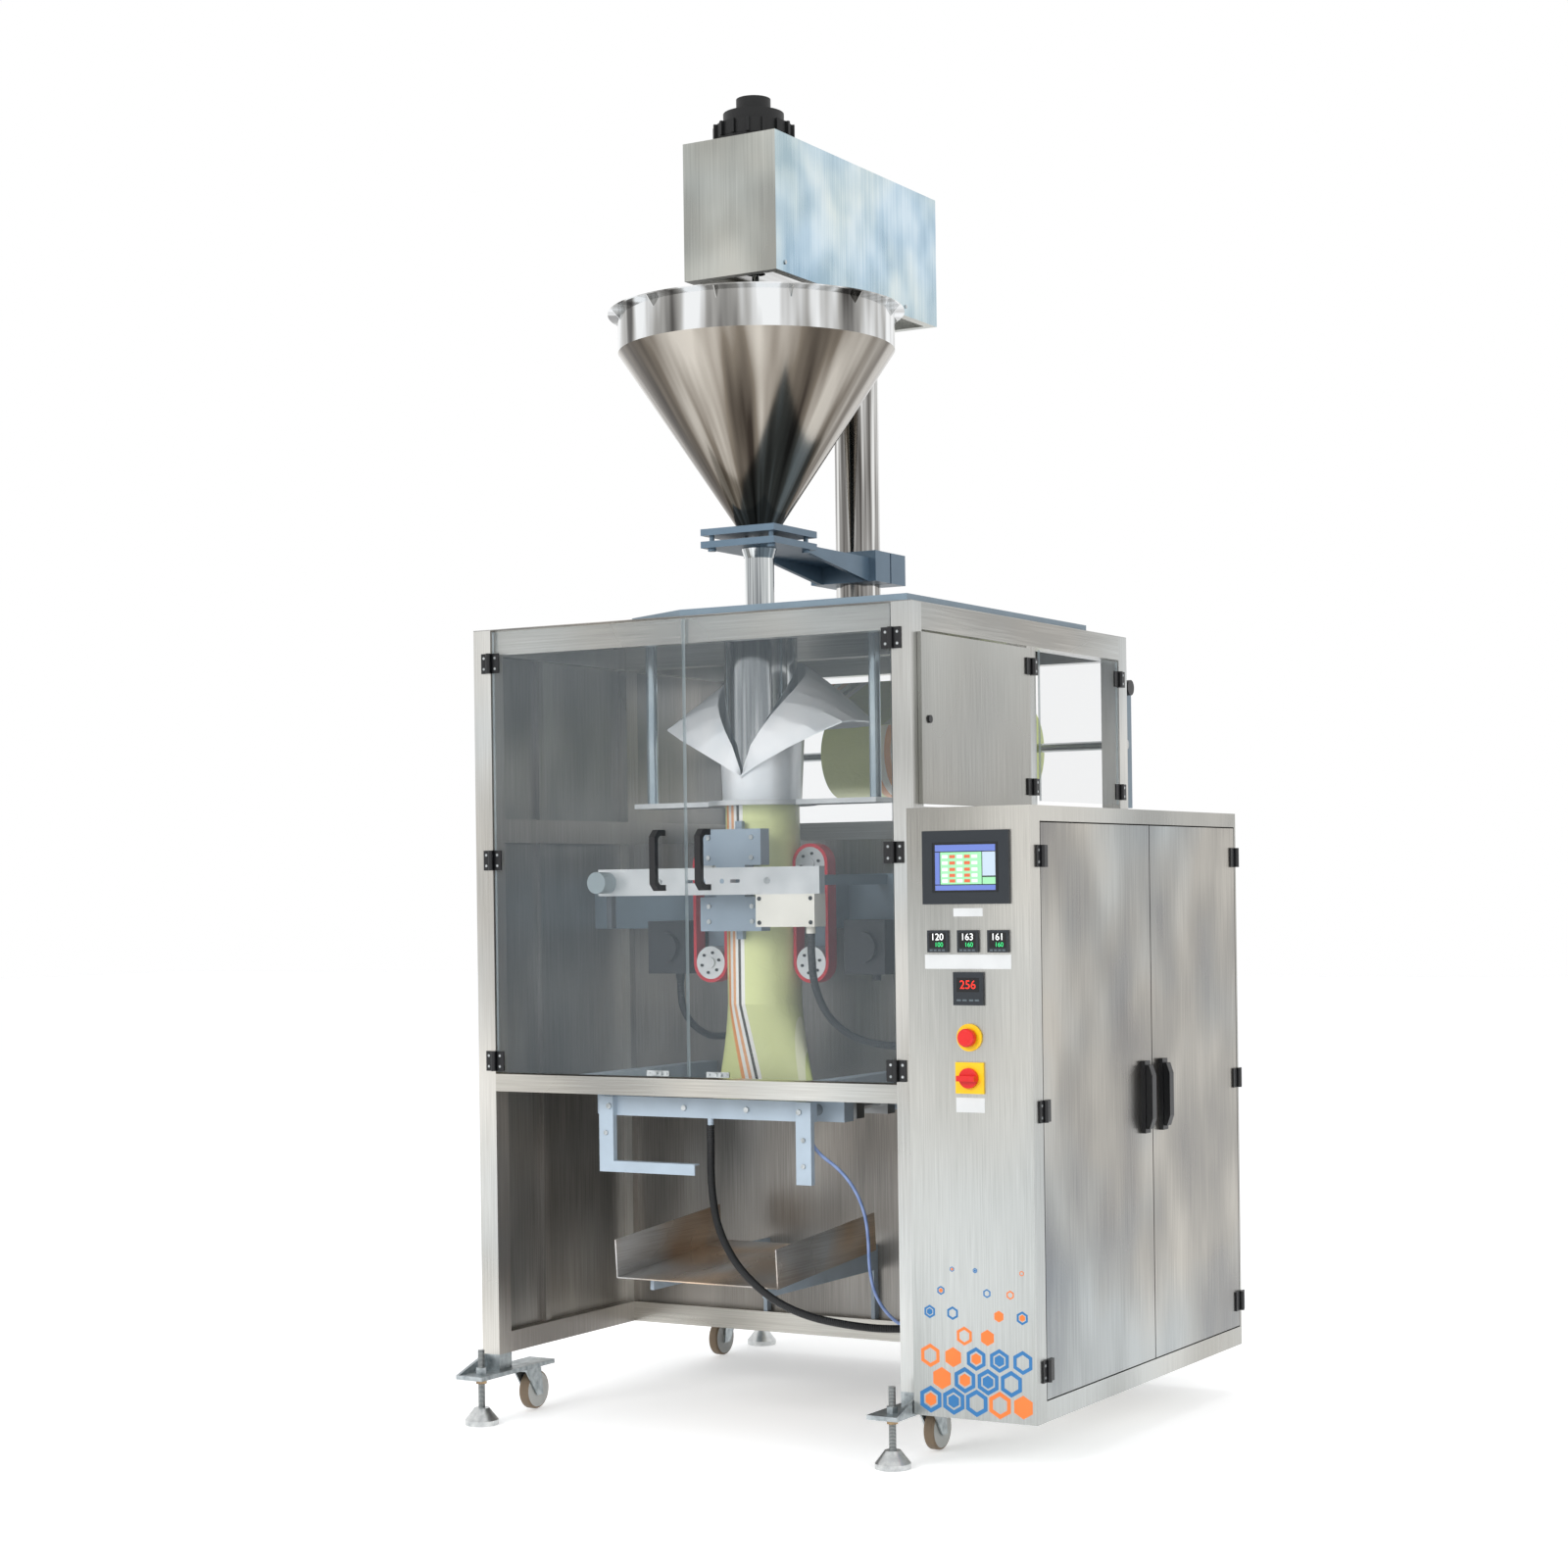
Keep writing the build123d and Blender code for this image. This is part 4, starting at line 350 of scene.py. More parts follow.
def tube_faces_inwards(at, facing):
    """True on the posts' and rails' faces that look into the body, which take the painted shade."""
    if abs(facing.x) > 0.5 and abs(at.x) > side_zone:
        return at.x * facing.x < 0
    return facing.y > 0.5 and at.y < front_half


finish_node("frame_posts", tube_upright, (tube_inner_shade, tube_faces_inwards))
finish_node("frame_rails", tube_cross, (tube_side, lambda at, facing: abs(at.x) > side_zone),
            (tube_inner_shade, tube_faces_inwards))
finish_node("frame_panels", sheet_outer, (sheet_inner_shade, faces_inwards))


# Levelling feet and casters: zinc plated plates and forks, turned pads, wheels with a tan tread.
# The studs are threaded rod, screwed through a nut under each plate.
def plated_zinc(name, tones, roughness=0.38):
    """Zinc plating: pale blue-grey metal with a faint mottle."""
    material, tree, shader = start_material(name)
    place = add_node(tree, "ShaderNodeTexCoord").outputs
    mottle = add_node(tree, "ShaderNodeTexNoise",
                      inputs={"Vector": place["Object"], "Scale": 60.0, "Detail": 4.0})
    tint = add_node(tree, "ShaderNodeValToRGB", inputs={"Fac": mottle.outputs["Fac"]},
                    stops=[(0.3, tones[0]), (0.7, tones[1])])
    set_inputs(tree, shader, {"Base Color": tint.outputs["Color"], "Metallic": 0.9, "Roughness": roughness})
    return material


def threaded_rod(name, pitch_mm):
    """Plated threaded rod: ridges along Z, drawn coarser than the real thread so that they show, with
    painted shade in the grooves.
    """
    material, tree, shader = start_material(name)
    place = add_node(tree, "ShaderNodeTexCoord").outputs
    spread = add_node(tree, "ShaderNodeMapping",
                      inputs={"Vector": place["Object"], "Scale": (0, 0, 1000 / pitch_mm)})
    ridges = add_node(tree, "ShaderNodeTexWave", {"wave_type": "BANDS", "bands_direction": "Z"},
                      {"Vector": spread.outputs["Vector"], "Scale": band_scale})
    # Dark in the grooves and pale on the crests: painted shade in the thread.
    tint = add_node(tree, "ShaderNodeValToRGB", inputs={"Fac": ridges.outputs["Fac"]},
                    stops=[(0.2, "#54585a"), (0.8, "#c3c7c6")])
    bump = add_node(tree, "ShaderNodeBump",
                    inputs={"Height": ridges.outputs["Fac"], "Strength": 0.8, "Distance": 0.001})
    set_inputs(tree, shader, {"Base Color": tint.outputs["Color"], "Normal": bump.outputs["Normal"],
                              "Metallic": 0.9, "Roughness": 0.35})
    return material


def moulded(name, colour, roughness=0.45, grain=0.15, grain_mm=1.2, metallic=0.0):
    """Moulded plastic, rubber or paint: one colour with a slight tonal mottle and a fine grain."""
    material, tree, shader = start_material(name)
    place = add_node(tree, "ShaderNodeTexCoord").outputs
    fine = add_node(tree, "ShaderNodeTexNoise",
                    inputs={"Vector": place["Object"], "Scale": 1000 / grain_mm, "Detail": 2.0})
    broad = add_node(tree, "ShaderNodeTexNoise",
                     inputs={"Vector": place["Object"], "Scale": 14.0, "Detail": 3.0})
    base = linear(colour)[:3]
    darker = [c * 0.84 for c in base] + [1.0]
    lighter = [min(1.0, c * 1.12) for c in base] + [1.0]
    tint = add_node(tree, "ShaderNodeMix", {"data_type": "RGBA"},
                    {"Factor": broad.outputs["Fac"], "A": darker, "B": lighter})
    bump = add_node(tree, "ShaderNodeBump",
                    inputs={"Height": fine.outputs["Fac"], "Strength": grain, "Distance": 0.0004})
    set_inputs(tree, shader, {"Base Color": tint.outputs["Result"], "Normal": bump.outputs["Normal"],
                              "Roughness": roughness, "Metallic": metallic})
    return material


def node_middle(name):
    """The middle of a CAD node's box, in millimetres on the machine."""
    low, high = node_box(name)
    return (low + high) / 2


zinc_plate = plated_zinc("zinc_plated_plate", ("#8f979b", "#c2c9cb"))
zinc_pad = plated_zinc("zinc_plated_pad", ("#b7babb", "#dcdedd"), roughness=0.3)
foot_nut = plated_zinc("yellow_passivated_nut", ("#84705a", "#b39a76"), roughness=0.32)
stud_thread = threaded_rod("zinc_plated_stud", pitch_mm=3.0)
tread = moulded("polyurethane_tread", "#8f7c66", roughness=0.5)
hub = moulded("nylon_hub", "#c9cac6", roughness=0.4)
hub_radius = 36.0
stud_reach = 8.6
pad_top = 40.5
nut_reach = 17.0
nut_top = 111.5
sides, ends = ["left", "right"], ["front", "rear"]
foot_middles = [node_middle(f"foot_{end}_{side}").xy for side in sides for end in ends]


def on_foot_nut(at, facing):
    """True on the nut under a foot plate."""
    return at.z < nut_top and min((at.xy - middle).length for middle in foot_middles) < nut_reach


finish_node("foot_plates", zinc_plate, (foot_nut, on_foot_nut))
for side in sides:
    for end in ends:
        stud, axle = node_middle(f"foot_{end}_{side}").xy, node_middle(f"wheel_{end}_{side}").yz
        finish_node(f"foot_{end}_{side}", zinc_pad,
                    (stud_thread, lambda at, facing: at.z > pad_top and (at.xy - stud).length < stud_reach))
        finish_node(f"wheel_{end}_{side}", hub,
                    (tread, lambda at, facing: (at.yz - axle).length > hub_radius))
    finish_node(f"caster_fork_{side}", zinc_plate)


# Roof plate, belt frame, reel plates, clamp and jaw frame: thick plate with hammered blue-grey paint.
# The jaw frame is a lighter shade, and the reel plates carry a black moulded knob.
clamp_paint = moulded("hammered_slate_paint", "#64798a", roughness=0.35, grain=0.5, grain_mm=5.0,
                      metallic=0.25)
plate_paint = moulded("hammered_blue_grey_paint", "#72838f", roughness=0.35, grain=0.5, grain_mm=5.0,
                      metallic=0.25)
frame_paint = moulded("pale_blue_grey_paint", "#aebdca", roughness=0.38, grain=0.3, grain_mm=5.0)
black_plastic = moulded("black_moulded_polyamide", "#101114", roughness=0.38, grain=0.4)
reel_plate_face = 572.2
finish_node("painted_plates", plate_paint,
            (black_plastic, lambda at, facing: abs(at.x) > reel_plate_face and at.y > body_back))
finish_node("column_clamp", clamp_paint)
finish_node("jaw_frame", frame_paint)
finish_node("hinge_leaves", black_plastic)


# Filler: hopper, tube and column of mirror-polished stainless; the cover is bright cold-rolled sheet.
# The dark and bright streaks that run down the cone and along the tubes are painted reflections.
filler_axis = (0.0, 354.0)
column_axis = (0.0, 850.0)


def polished_stainless(name, tones, reflection_streak_turns, roughness, axis_mm=filler_axis):
    """Mirror-polished round part: streaks of painted reflection that run down it, set out by the angle
    round its axis.
    """
    material, tree, shader = start_material(name)
    place = add_node(tree, "ShaderNodeTexCoord").outputs
    shift = add_node(tree, "ShaderNodeMapping",
                     inputs={"Vector": place["Object"], "Location": -metres(*axis_mm, 0.0)})
    split = add_node(tree, "ShaderNodeSeparateXYZ", inputs={"Vector": shift.outputs["Vector"]})
    angle = add_node(tree, "ShaderNodeMath", {"operation": "ARCTAN2"},
                     {0: split.outputs["Y"], 1: split.outputs["X"]})
    joined = add_node(tree, "ShaderNodeCombineXYZ",
                      inputs={"X": angle.outputs[0], "Z": split.outputs["Z"]})
    spread = add_node(tree, "ShaderNodeMapping",
                      inputs={"Vector": joined.outputs["Vector"], "Scale": (reflection_streak_turns, 1.0, 0.9)})
    streaks = add_node(tree, "ShaderNodeTexNoise",
                       inputs={"Vector": spread.outputs["Vector"], "Scale": 1.0, "Detail": 3.0,
                               "Roughness": 0.5})
    # Dark and bright bands round the axis: painted reflections.
    tint = add_node(tree, "ShaderNodeValToRGB", inputs={"Fac": streaks.outputs["Fac"]},
                    stops=[(0.4, tones[0]), (0.5, tones[1]), (0.61, tones[2])])
    set_inputs(tree, shader, {"Base Color": tint.outputs["Color"], "Metallic": 1.0, "Roughness": roughness})
    return material


# Hopper, band, tubes and column: their tones are painted reflections.
hopper_steel = polished_stainless("mirror_polished_hopper", ("#302a25", "#6d655b", "#b5afa6"),
                                  reflection_streak_turns=2.1, roughness=0.13)
band_steel = polished_stainless("mirror_polished_hopper_band", ("#494745", "#a2a19e", "#f0f2f3"),
                                reflection_streak_turns=3.6, roughness=0.09)
tube_steel = polished_stainless("mirror_polished_tube", ("#7f8386", "#bfc3c4", "#eff1f1"),
                                reflection_streak_turns=2.4, roughness=0.1)
column_steel = polished_stainless("mirror_polished_column", ("#4b4845", "#959390", "#e8e8e6"),
                                  reflection_streak_turns=2.6, roughness=0.1, axis_mm=column_axis)
# The cover's sides take a paler, bluer copy of its sheet than the front: painted light on the sides.
cover_side_painted_light = brushed_stainless("bright_cold_rolled_side_painted_light", ("#a4bccb", "#c6d8e2", "#e4eef2"), "Z",
                               roughness=0.3, grain_mm=4.0, cloud_mm=110.0, stains=("#fffdf6", "#eef6fd"),
                               stretch=1.2)
cover_front = brushed_stainless("bright_cold_rolled_front", ("#a3a49f", "#b8b9b3", "#cdcec8"), "Z",
                                roughness=0.32, grain_mm=4.0, cloud_mm=160.0, stretch=1.3)
motor_paint = moulded("black_cast_motor_paint", "#08090a", roughness=0.5, grain=0.5, grain_mm=3.0)
hopper_band_low = 2576.0
painted_light_side_zone = 128.9
finish_node("hopper", hopper_steel, (band_steel, lambda at, facing: at.z > hopper_band_low))
for name in ["auger_tube", "auger", "forming_tube"]:
    finish_node(name, tube_steel)
finish_node("filler_column", column_steel)
finish_node("drive_box", cover_front, (cover_side_painted_light, lambda at, facing: abs(at.x) > painted_light_side_zone))
finish_node("drive_motor", motor_paint)


# Forming set: shoulder of thin polished sheet, shelf and rods, belts of red rubber, turned pulleys.
# The shoulder's wings are matt from the film that slides over them.
def ground_metal(name, tones, roughness, metallic=0.75):
    """Fine-ground metal that film or bearings slide on: pale, even and slightly matt."""
    material, tree, shader = start_material(name)
    place = add_node(tree, "ShaderNodeTexCoord").outputs
    cloud = add_node(tree, "ShaderNodeTexNoise",
                     inputs={"Vector": place["Object"], "Scale": 9.0, "Detail": 3.0})
    tint = add_node(tree, "ShaderNodeValToRGB", inputs={"Fac": cloud.outputs["Fac"]},
                    stops=[(0.3, tones[0]), (0.7, tones[1])])
    set_inputs(tree, shader, {"Base Color": tint.outputs["Color"], "Metallic": metallic,
                              "Roughness": roughness})
    return material


collar_sheet = ground_metal("ground_collar_sheet", ("#e3e9ed", "#fbfcfd"), roughness=0.3, metallic=0.35)
turned_aluminium = ground_metal("turned_aluminium", ("#bec2c4", "#e2e5e6"), roughness=0.3, metallic=0.55)
rod_steel = ground_metal("ground_guide_rod", ("#9fb0ba", "#c9d6dc"), roughness=0.15)
belt_rubber = moulded("red_belt_rubber", "#c3182b", roughness=0.55, grain=0.4, grain_mm=1.5)
cast_grey = moulded("dark_cast_housing", "#26282c", roughness=0.5, grain=0.6, grain_mm=4.0)
sealer_paint = moulded("blue_grey_block_paint", "#92a2b0", roughness=0.4, grain=0.3, grain_mm=4.0)
arm_sheet = ground_metal("milled_seal_bar", ("#c3c8ca", "#dfe2e3"), roughness=0.3, metallic=0.55)
knob_paint = moulded("grey_knob_plastic", "#8b989c", roughness=0.4)
lever_plastic = moulded("dark_lever_grip", "#3a4046", roughness=0.5)
shaft_steel = ground_metal("hard_chrome_shaft", ("#8e9192", "#c6c9ca"), roughness=0.12)
jaw_steel = ground_metal("ground_jaw_steel", ("#6d6f70", "#9a9c9c"), roughness=0.3)
white_plastic = moulded("white_abs_box", "#e4e2d8", roughness=0.45)
shelf_low, shelf_high = 1477.0, 1490.5
knob_back, knob_right = 119.0, -272.0
arm_low = 1263.5
finish_node("forming_collar", collar_sheet)
finish_node("collar_stand", rod_steel,
            (turned_aluminium, lambda at, facing: shelf_low < at.z < shelf_high))
finish_node("pull_belts", belt_rubber)
finish_node("belt_gearboxes", cast_grey)
pulleys = [f"pulley_{side}_{level}" for side in sides for level in ["upper", "lower"]]
for name in pulleys:
    finish_node(name, turned_aluminium)
finish_node("seal_arm", arm_sheet,
            (knob_paint, lambda at, facing: at.x < knob_right and at.y < knob_back),
            (lever_plastic, lambda at, facing: at.z < arm_low))
finish_node("vertical_sealer", sealer_paint)
finish_node("junction_box", white_plastic)
finish_node("jaw_shafts", shaft_steel)
finish_node("front_jaw", jaw_steel)
finish_node("rear_jaw", jaw_steel)
finish_node("film_roller", turned_aluminium)


# Film: printed heat-seal laminate, pale green with plain stripes along its length.
# It is thin and glossy; the wound reel shows the same stripes round its card core.
film_stripes = [(0.0, "#e3eaa2"), (0.27, "#f3a35a"), (0.31, "#fbfaf2"), (0.35, "#f6b682"),
                (0.385, "#fdfdf8"), (0.42, "#4a463d"), (0.45, "#fdfdf8"), (0.49, "#e6edab"),
                (0.86, "#f6f8d2"), (0.93, "#d6e28f")]


def striped_film(name, half_width_mm):
    """Printed laminate: stripes set out across X, with faint creases."""
    material, tree, shader = start_material(name)
    place = add_node(tree, "ShaderNodeTexCoord").outputs
    split = add_node(tree, "ShaderNodeSeparateXYZ", inputs={"Vector": place["Object"]})
    across = add_node(tree, "ShaderNodeMapRange",
                      inputs={"Value": split.outputs["X"], "From Min": metres(-half_width_mm, 0, 0).x,
                              "From Max": metres(half_width_mm, 0, 0).x})
    stripes = add_node(tree, "ShaderNodeValToRGB", inputs={"Fac": across.outputs["Result"]},
                       stops=film_stripes)
    stripes.color_ramp.interpolation = "CONSTANT"
    crease = add_node(tree, "ShaderNodeTexNoise",
                      inputs={"Vector": place["Object"], "Scale": 26.0, "Detail": 3.0, "Distortion": 1.2})
    bump = add_node(tree, "ShaderNodeBump",
                    inputs={"Height": crease.outputs["Fac"], "Strength": 0.35, "Distance": 0.006})
    set_inputs(tree, shader, {"Base Color": stripes.outputs["Color"], "Normal": bump.outputs["Normal"],
                              "Roughness": 0.25})
    return material


sleeve_half_width = 134.0
reel_half_width = 278.0
sleeve_print = striped_film("printed_sleeve_laminate", sleeve_half_width)
reel_print = striped_film("printed_reel_laminate", reel_half_width)
core_card = moulded("reel_core_card", "#b49a72", roughness=0.8)
web_front = 470.0
core_start, core_end = reel_half_width + 0.5, 291.0
finish_node("film", sleeve_print, (reel_print, lambda at, facing: at.y > web_front))
finish_node("film_reel", reel_print, (shaft_steel, lambda at, facing: abs(at.x) > core_end),
            (core_card, lambda at, facing: core_start < abs(at.x) < core_end))


# Discharge chute: folded stainless sheet on two posts, open at the front.
# It is dull; its pale tones and warm blotches are painted light, warm reflections on a sheet that lies in
# shade.
# Pale tones and warm stains here are painted light: warm reflections over the chute's shade.
chute_sheet_painted_light = brushed_stainless("chute_sheet_painted_warm_light", ("#a8a39d", "#c9c5c0", "#ebe9e6"), "Y",
                                roughness=0.28, grain_mm=2.5, cloud_mm=130.0,
                                stains=("#fbe2c8", "#eff4f9"), metallic=0.6)
finish_node("discharge_chute", chute_sheet_painted_light)


# Doors: the front pair and the rear side door are clear polycarbonate sheet with black hinges.
# The solid side door and the cabinet's doors are folded stainless pans.
def clear_sheet(name, tones, cover):
    """Clear polycarbonate: see-through, slightly grey, glossy; cover is how much of it the eye sees."""
    material, tree, shader = start_material(name)
    place = add_node(tree, "ShaderNodeTexCoord").outputs
    haze = add_node(tree, "ShaderNodeTexNoise",
                    inputs={"Vector": place["Object"], "Scale": 3.0, "Detail": 2.0})
    tint = add_node(tree, "ShaderNodeMix", {"data_type": "RGBA"},
                    {"Factor": haze.outputs["Fac"], "A": linear(tones[0]), "B": linear(tones[1])})
    set_inputs(tree, shader, {"Base Color": tint.outputs["Result"], "Roughness": 0.06, "Alpha": cover})
    return material


door_sheet = clear_sheet("clear_polycarbonate_sheet", ("#7f8a91", "#a9b4ba"), cover=0.095)
door_edge = clear_sheet("cut_polycarbonate_edge", ("#a9b8bd", "#c8d4d8"), cover=0.7)
cabinet_sheet = brushed_stainless("stainless_cabinet_sheet", ("#9d9d99", "#b6b6b2", "#cfcfcb"), "Z",
                                  roughness=0.3, grain_mm=2.6, cloud_mm=420.0)
# The cabinet's doors take a darker copy of the cabinet's sheet: painted shade on the doors.
cabinet_door_sheet_shaded = brushed_stainless("stained_and_shaded_cabinet_door_sheet", ("#848587", "#a3a3a1", "#c3c3c0"),
                                       "Z", roughness=0.3, grain_mm=3.2, cloud_mm=240.0,
                                       stains=("#fdf7ef", "#eef4f8"), stretch=1.6)
# Hinges, handles and the lock stand proud of these faces
front_pane_skin = 1.95
side_pane_skin = 606.55
solid_door_skin = 610.6
cabinet_door_skin = 899.1
for side in sides:
    finish_node(f"front_door_{side}", black_plastic,
                (door_sheet, lambda at, facing: at.y > front_pane_skin),
                (door_edge, lambda at, facing: at.y > front_pane_skin and abs(facing.y) < 0.5))
finish_node("side_door_clear", black_plastic, (door_sheet, lambda at, facing: at.x < side_pane_skin),
            (door_edge, lambda at, facing: at.x < side_pane_skin and abs(facing.x) < 0.5))
finish_node("side_door_solid", cabinet_sheet, (black_plastic, lambda at, facing: at.x > solid_door_skin))
finish_node("cabinet_shell", cabinet_sheet)
for end in ends:
    finish_node(f"cabinet_door_{end}", cabinet_door_sheet_shaded,
                (black_plastic, lambda at, facing: at.x > cabinet_door_skin))
    finish_node(f"swing_handle_{end}", black_plastic)


# Control panel: touch screen, three controllers, counter, emergency stop and main switch.
# Housings are black moulded plastic, the switch plates are yellow and the switches red.
housing = moulded("instrument_housing", "#1d2329", roughness=0.35)
yellow_plate = moulded("yellow_switch_plate", "#f2c416", roughness=0.35)
red_switch = moulded("red_switch_plastic", "#d81f1f", roughness=0.28)
unit_plastic = moulded("device_housing_plastic", "#8f9495", roughness=0.5)
mount_sheet = plated_zinc("galvanised_mounting_plate", ("#a6acae", "#cfd3d3"))
switch_zone_top = 985.0
mount_plate_face = 615.0
finish_node("panel_instruments", housing, (yellow_plate, lambda at, facing: at.z < switch_zone_top))
finish_node("emergency_stop", red_switch)
finish_node("main_switch", red_switch)
finish_node("electric_units", mount_sheet,
            (unit_plastic, lambda at, facing: at.x > mount_plate_face + 0.5))


# Touch screen: a glass display behind the bezel with a plain field of coloured keys.
# Each key is a printed area on the glass, drawn as a thin plate.
def bar(bm, x0, x1, y0, y1, z0, z1):
    """Adds a box between two corners, in millimetres on the machine."""
    made = bmesh.ops.create_cube(bm, size=1.0)
    size = Vector((x1 - x0, y1 - y0, z1 - z0)) / 1000
    bmesh.ops.scale(bm, vec=size, verts=made["verts"])
    bmesh.ops.translate(bm, vec=metres((x0 + x1) / 2, (y0 + y1) / 2, (z0 + z1) / 2), verts=made["verts"])


def finish_piece(name, bm, material, body="base"):
    """Makes a scene piece of a bmesh and lets it ride on its body."""
    bmesh.ops.recalc_face_normals(bm, faces=bm.faces)
    mesh = bpy.data.meshes.new(name)
    bm.to_mesh(mesh)
    bm.free()
    mesh.materials.append(material)
    piece = bpy.data.objects.new(name, mesh)
    bpy.context.scene.collection.objects.link(piece)
    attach(piece, body)


def lit_print(name, colour, glow=0.35):
    """Lit display print: an even colour that glows slightly behind glass."""
    material, tree, shader = start_material(name)
    set_inputs(tree, shader, {"Base Color": linear(colour), "Emission Color": linear(colour),
                              "Emission Strength": glow, "Roughness": 0.25})
    return material


bezel_front = node_box("panel_instruments")[0].y
display_glass = moulded("display_glass", "#0c1014", roughness=0.12, grain=0.0)
bm = bmesh.new()
glass_front, glass_back = bezel_front + 0.3, bezel_front + 0.95
glass_left, glass_right, glass_low, glass_high = 667, 825, 1264, 1372
bar(bm, glass_left, glass_right, glass_front, glass_back, glass_low, glass_high)
finish_piece("screen_glass", bm, display_glass)
key_front, key_back = bezel_front - 0.05, bezel_front + 0.35
small_key_front = key_front - 0.15
# Fields of the display: left, right, low and high edge
screen_prints = {
    "blue": ("#5d6fb0", [(673, 819, 1268, 1279), (673, 819, 1353, 1367), (673, 684, 1281, 1351)]),
    "green": ("#8cc79a", [(686, 786, 1281, 1351), (788, 819, 1281, 1296)]),
    "grey": ("#a9b8c6", [(788, 819, 1299, 1351)]),
}
for name, (colour, fields) in screen_prints.items():
    bm = bmesh.new()
    for x0, x1, z0, z1 in fields:
        bar(bm, x0, x1, key_front, key_back, z0, z1)
    finish_piece(f"screen_field_{name}", bm, lit_print(f"display_print_{name}", colour))
small_keys = {"white": ("#dfe8e2", [690, 726, 762]), "red": ("#c8603f", [708, 744])}
key_rows = [1285, 1297, 1310, 1324, 1338]
key_wide, key_tall = 14, 7
for name, (colour, columns) in small_keys.items():
    bm = bmesh.new()
    for x in columns:
        for z in key_rows:
            bar(bm, x, x + key_wide, small_key_front, key_back, z, z + key_tall)
    finish_piece(f"screen_keys_{name}", bm, lit_print(f"display_key_{name}", colour, glow=0.25))


# Temperature controllers and counter: black windows in the housings with lit figures and rubber keys.
# The figures are plain numbers, cut from sheet so that they stand just proud of the window.
to_front = Matrix.Rotation(math.radians(90), 3, "X")
figure_front = bezel_front - 0.55
type_size = 1.4


def figures(name, words, x, z, height, material):
    """Lit figures centred on a place of the cabinet's front; type_size is the font's size to its height."""
    curve = bpy.data.curves.new(name, "FONT")
    curve.body = words
    curve.size = height / 1000 * type_size
    curve.align_x = "CENTER"
    curve.align_y = "CENTER"
    curve.extrude = 0.00015
    holder = bpy.data.objects.new(name + "_text", curve)
    bpy.context.scene.collection.objects.link(holder)
    bpy.context.view_layer.update()
    mesh = bpy.data.meshes.new_from_object(holder.evaluated_get(bpy.context.evaluated_depsgraph_get()))
    bpy.data.objects.remove(holder)
    mesh.transform(Matrix.Translation(metres(x, figure_front, z)) @ to_front.to_4x4())
    mesh.materials.clear()
    mesh.materials.append(material)
    piece = bpy.data.objects.new(name, mesh)
    bpy.context.scene.collection.objects.link(piece)
    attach(piece, "base")


window_black = moulded("smoked_window", "#07090b", roughness=0.15, grain=0.0)
white_figure = lit_print("lit_figure_white", "#f4f7f5", glow=0.6)
green_figure = lit_print("lit_figure_green", "#35d27a", glow=0.6)
red_figure = lit_print("lit_figure_red", "#e32a1c", glow=0.9)
key_grey = moulded("grey_rubber_keys", "#59646a", roughness=0.5)
window_front, rubber_front, instrument_back = bezel_front - 0.35, bezel_front - 0.8, bezel_front + 0.1
# Each controller by its middle, with its upper and its lower figures
controllers = {676: ("120", "100"), 749: ("163", "160"), 822: ("161", "160")}
counter_x, counter_z = 749, 1062
controller_half, counter_half = 20, 27
controller_window, counter_window = (1143, 1176), (1047, 1078)
high_z, low_z, low_shift = 1166.0, 1149.5, 4
high_size, low_size, counter_size = 15.0, 10.0, 19.0
bm = bmesh.new()
for x, (high, low) in controllers.items():
    bar(bm, x - controller_half, x + controller_half, window_front, instrument_back, *controller_window)
    figures(f"controller_high_{x}", high, x, high_z, high_size, white_figure)
    figures(f"controller_low_{x}", low, x + low_shift, low_z, low_size, green_figure)
bar(bm, counter_x - counter_half, counter_x + counter_half, window_front, instrument_back, *counter_window)
finish_piece("instrument_windows", bm, window_black)
figures("counter_figures", "256", counter_x, counter_z, counter_size, red_figure)
# Rubber keys: steps from the middle, half a key's width, and its low and high edge
controller_keys = ([-15, -5, 5, 15], 3.5, (1136, 1139.5))
counter_keys = ([-22, -8, 8, 22], 5, (1027, 1031))
key_rows = [(x, *controller_keys) for x in controllers] + [(counter_x, *counter_keys)]
bm = bmesh.new()
for middle, steps, half, edges in key_rows:
    for step in steps:
        bar(bm, middle + step - half, middle + step + half, rubber_front, instrument_back, *edges)
finish_piece("instrument_keys", bm, key_grey)


# Bare label plates under the instruments and the main switch.
# They are white engraving laminate, cut square and glued on.
label_white = moulded("white_label_laminate", "#d6d8d8", roughness=0.5, grain=0.0)
cabinet_skin = node_box("cabinet_shell")[0].y
label_front, label_back = cabinet_skin - 0.5, cabinet_skin + 0.2
# Left, right, low and high edge of each plate
label_plates = [(713, 784, 1211, 1229), (642, 851, 1097, 1128), (714, 783, 785, 817)]
bm = bmesh.new()
for x0, x1, z0, z1 in label_plates:
    bar(bm, x0, x1, label_front, label_back, z0, z1)
finish_piece("bare_labels", bm, label_white)


# Printed decoration on the cabinet's front: a plain honeycomb of blue and orange cells.
# It is vinyl foil, cut and stuck on; the cells grow smaller and fewer upwards.
foil_lift = 0.3


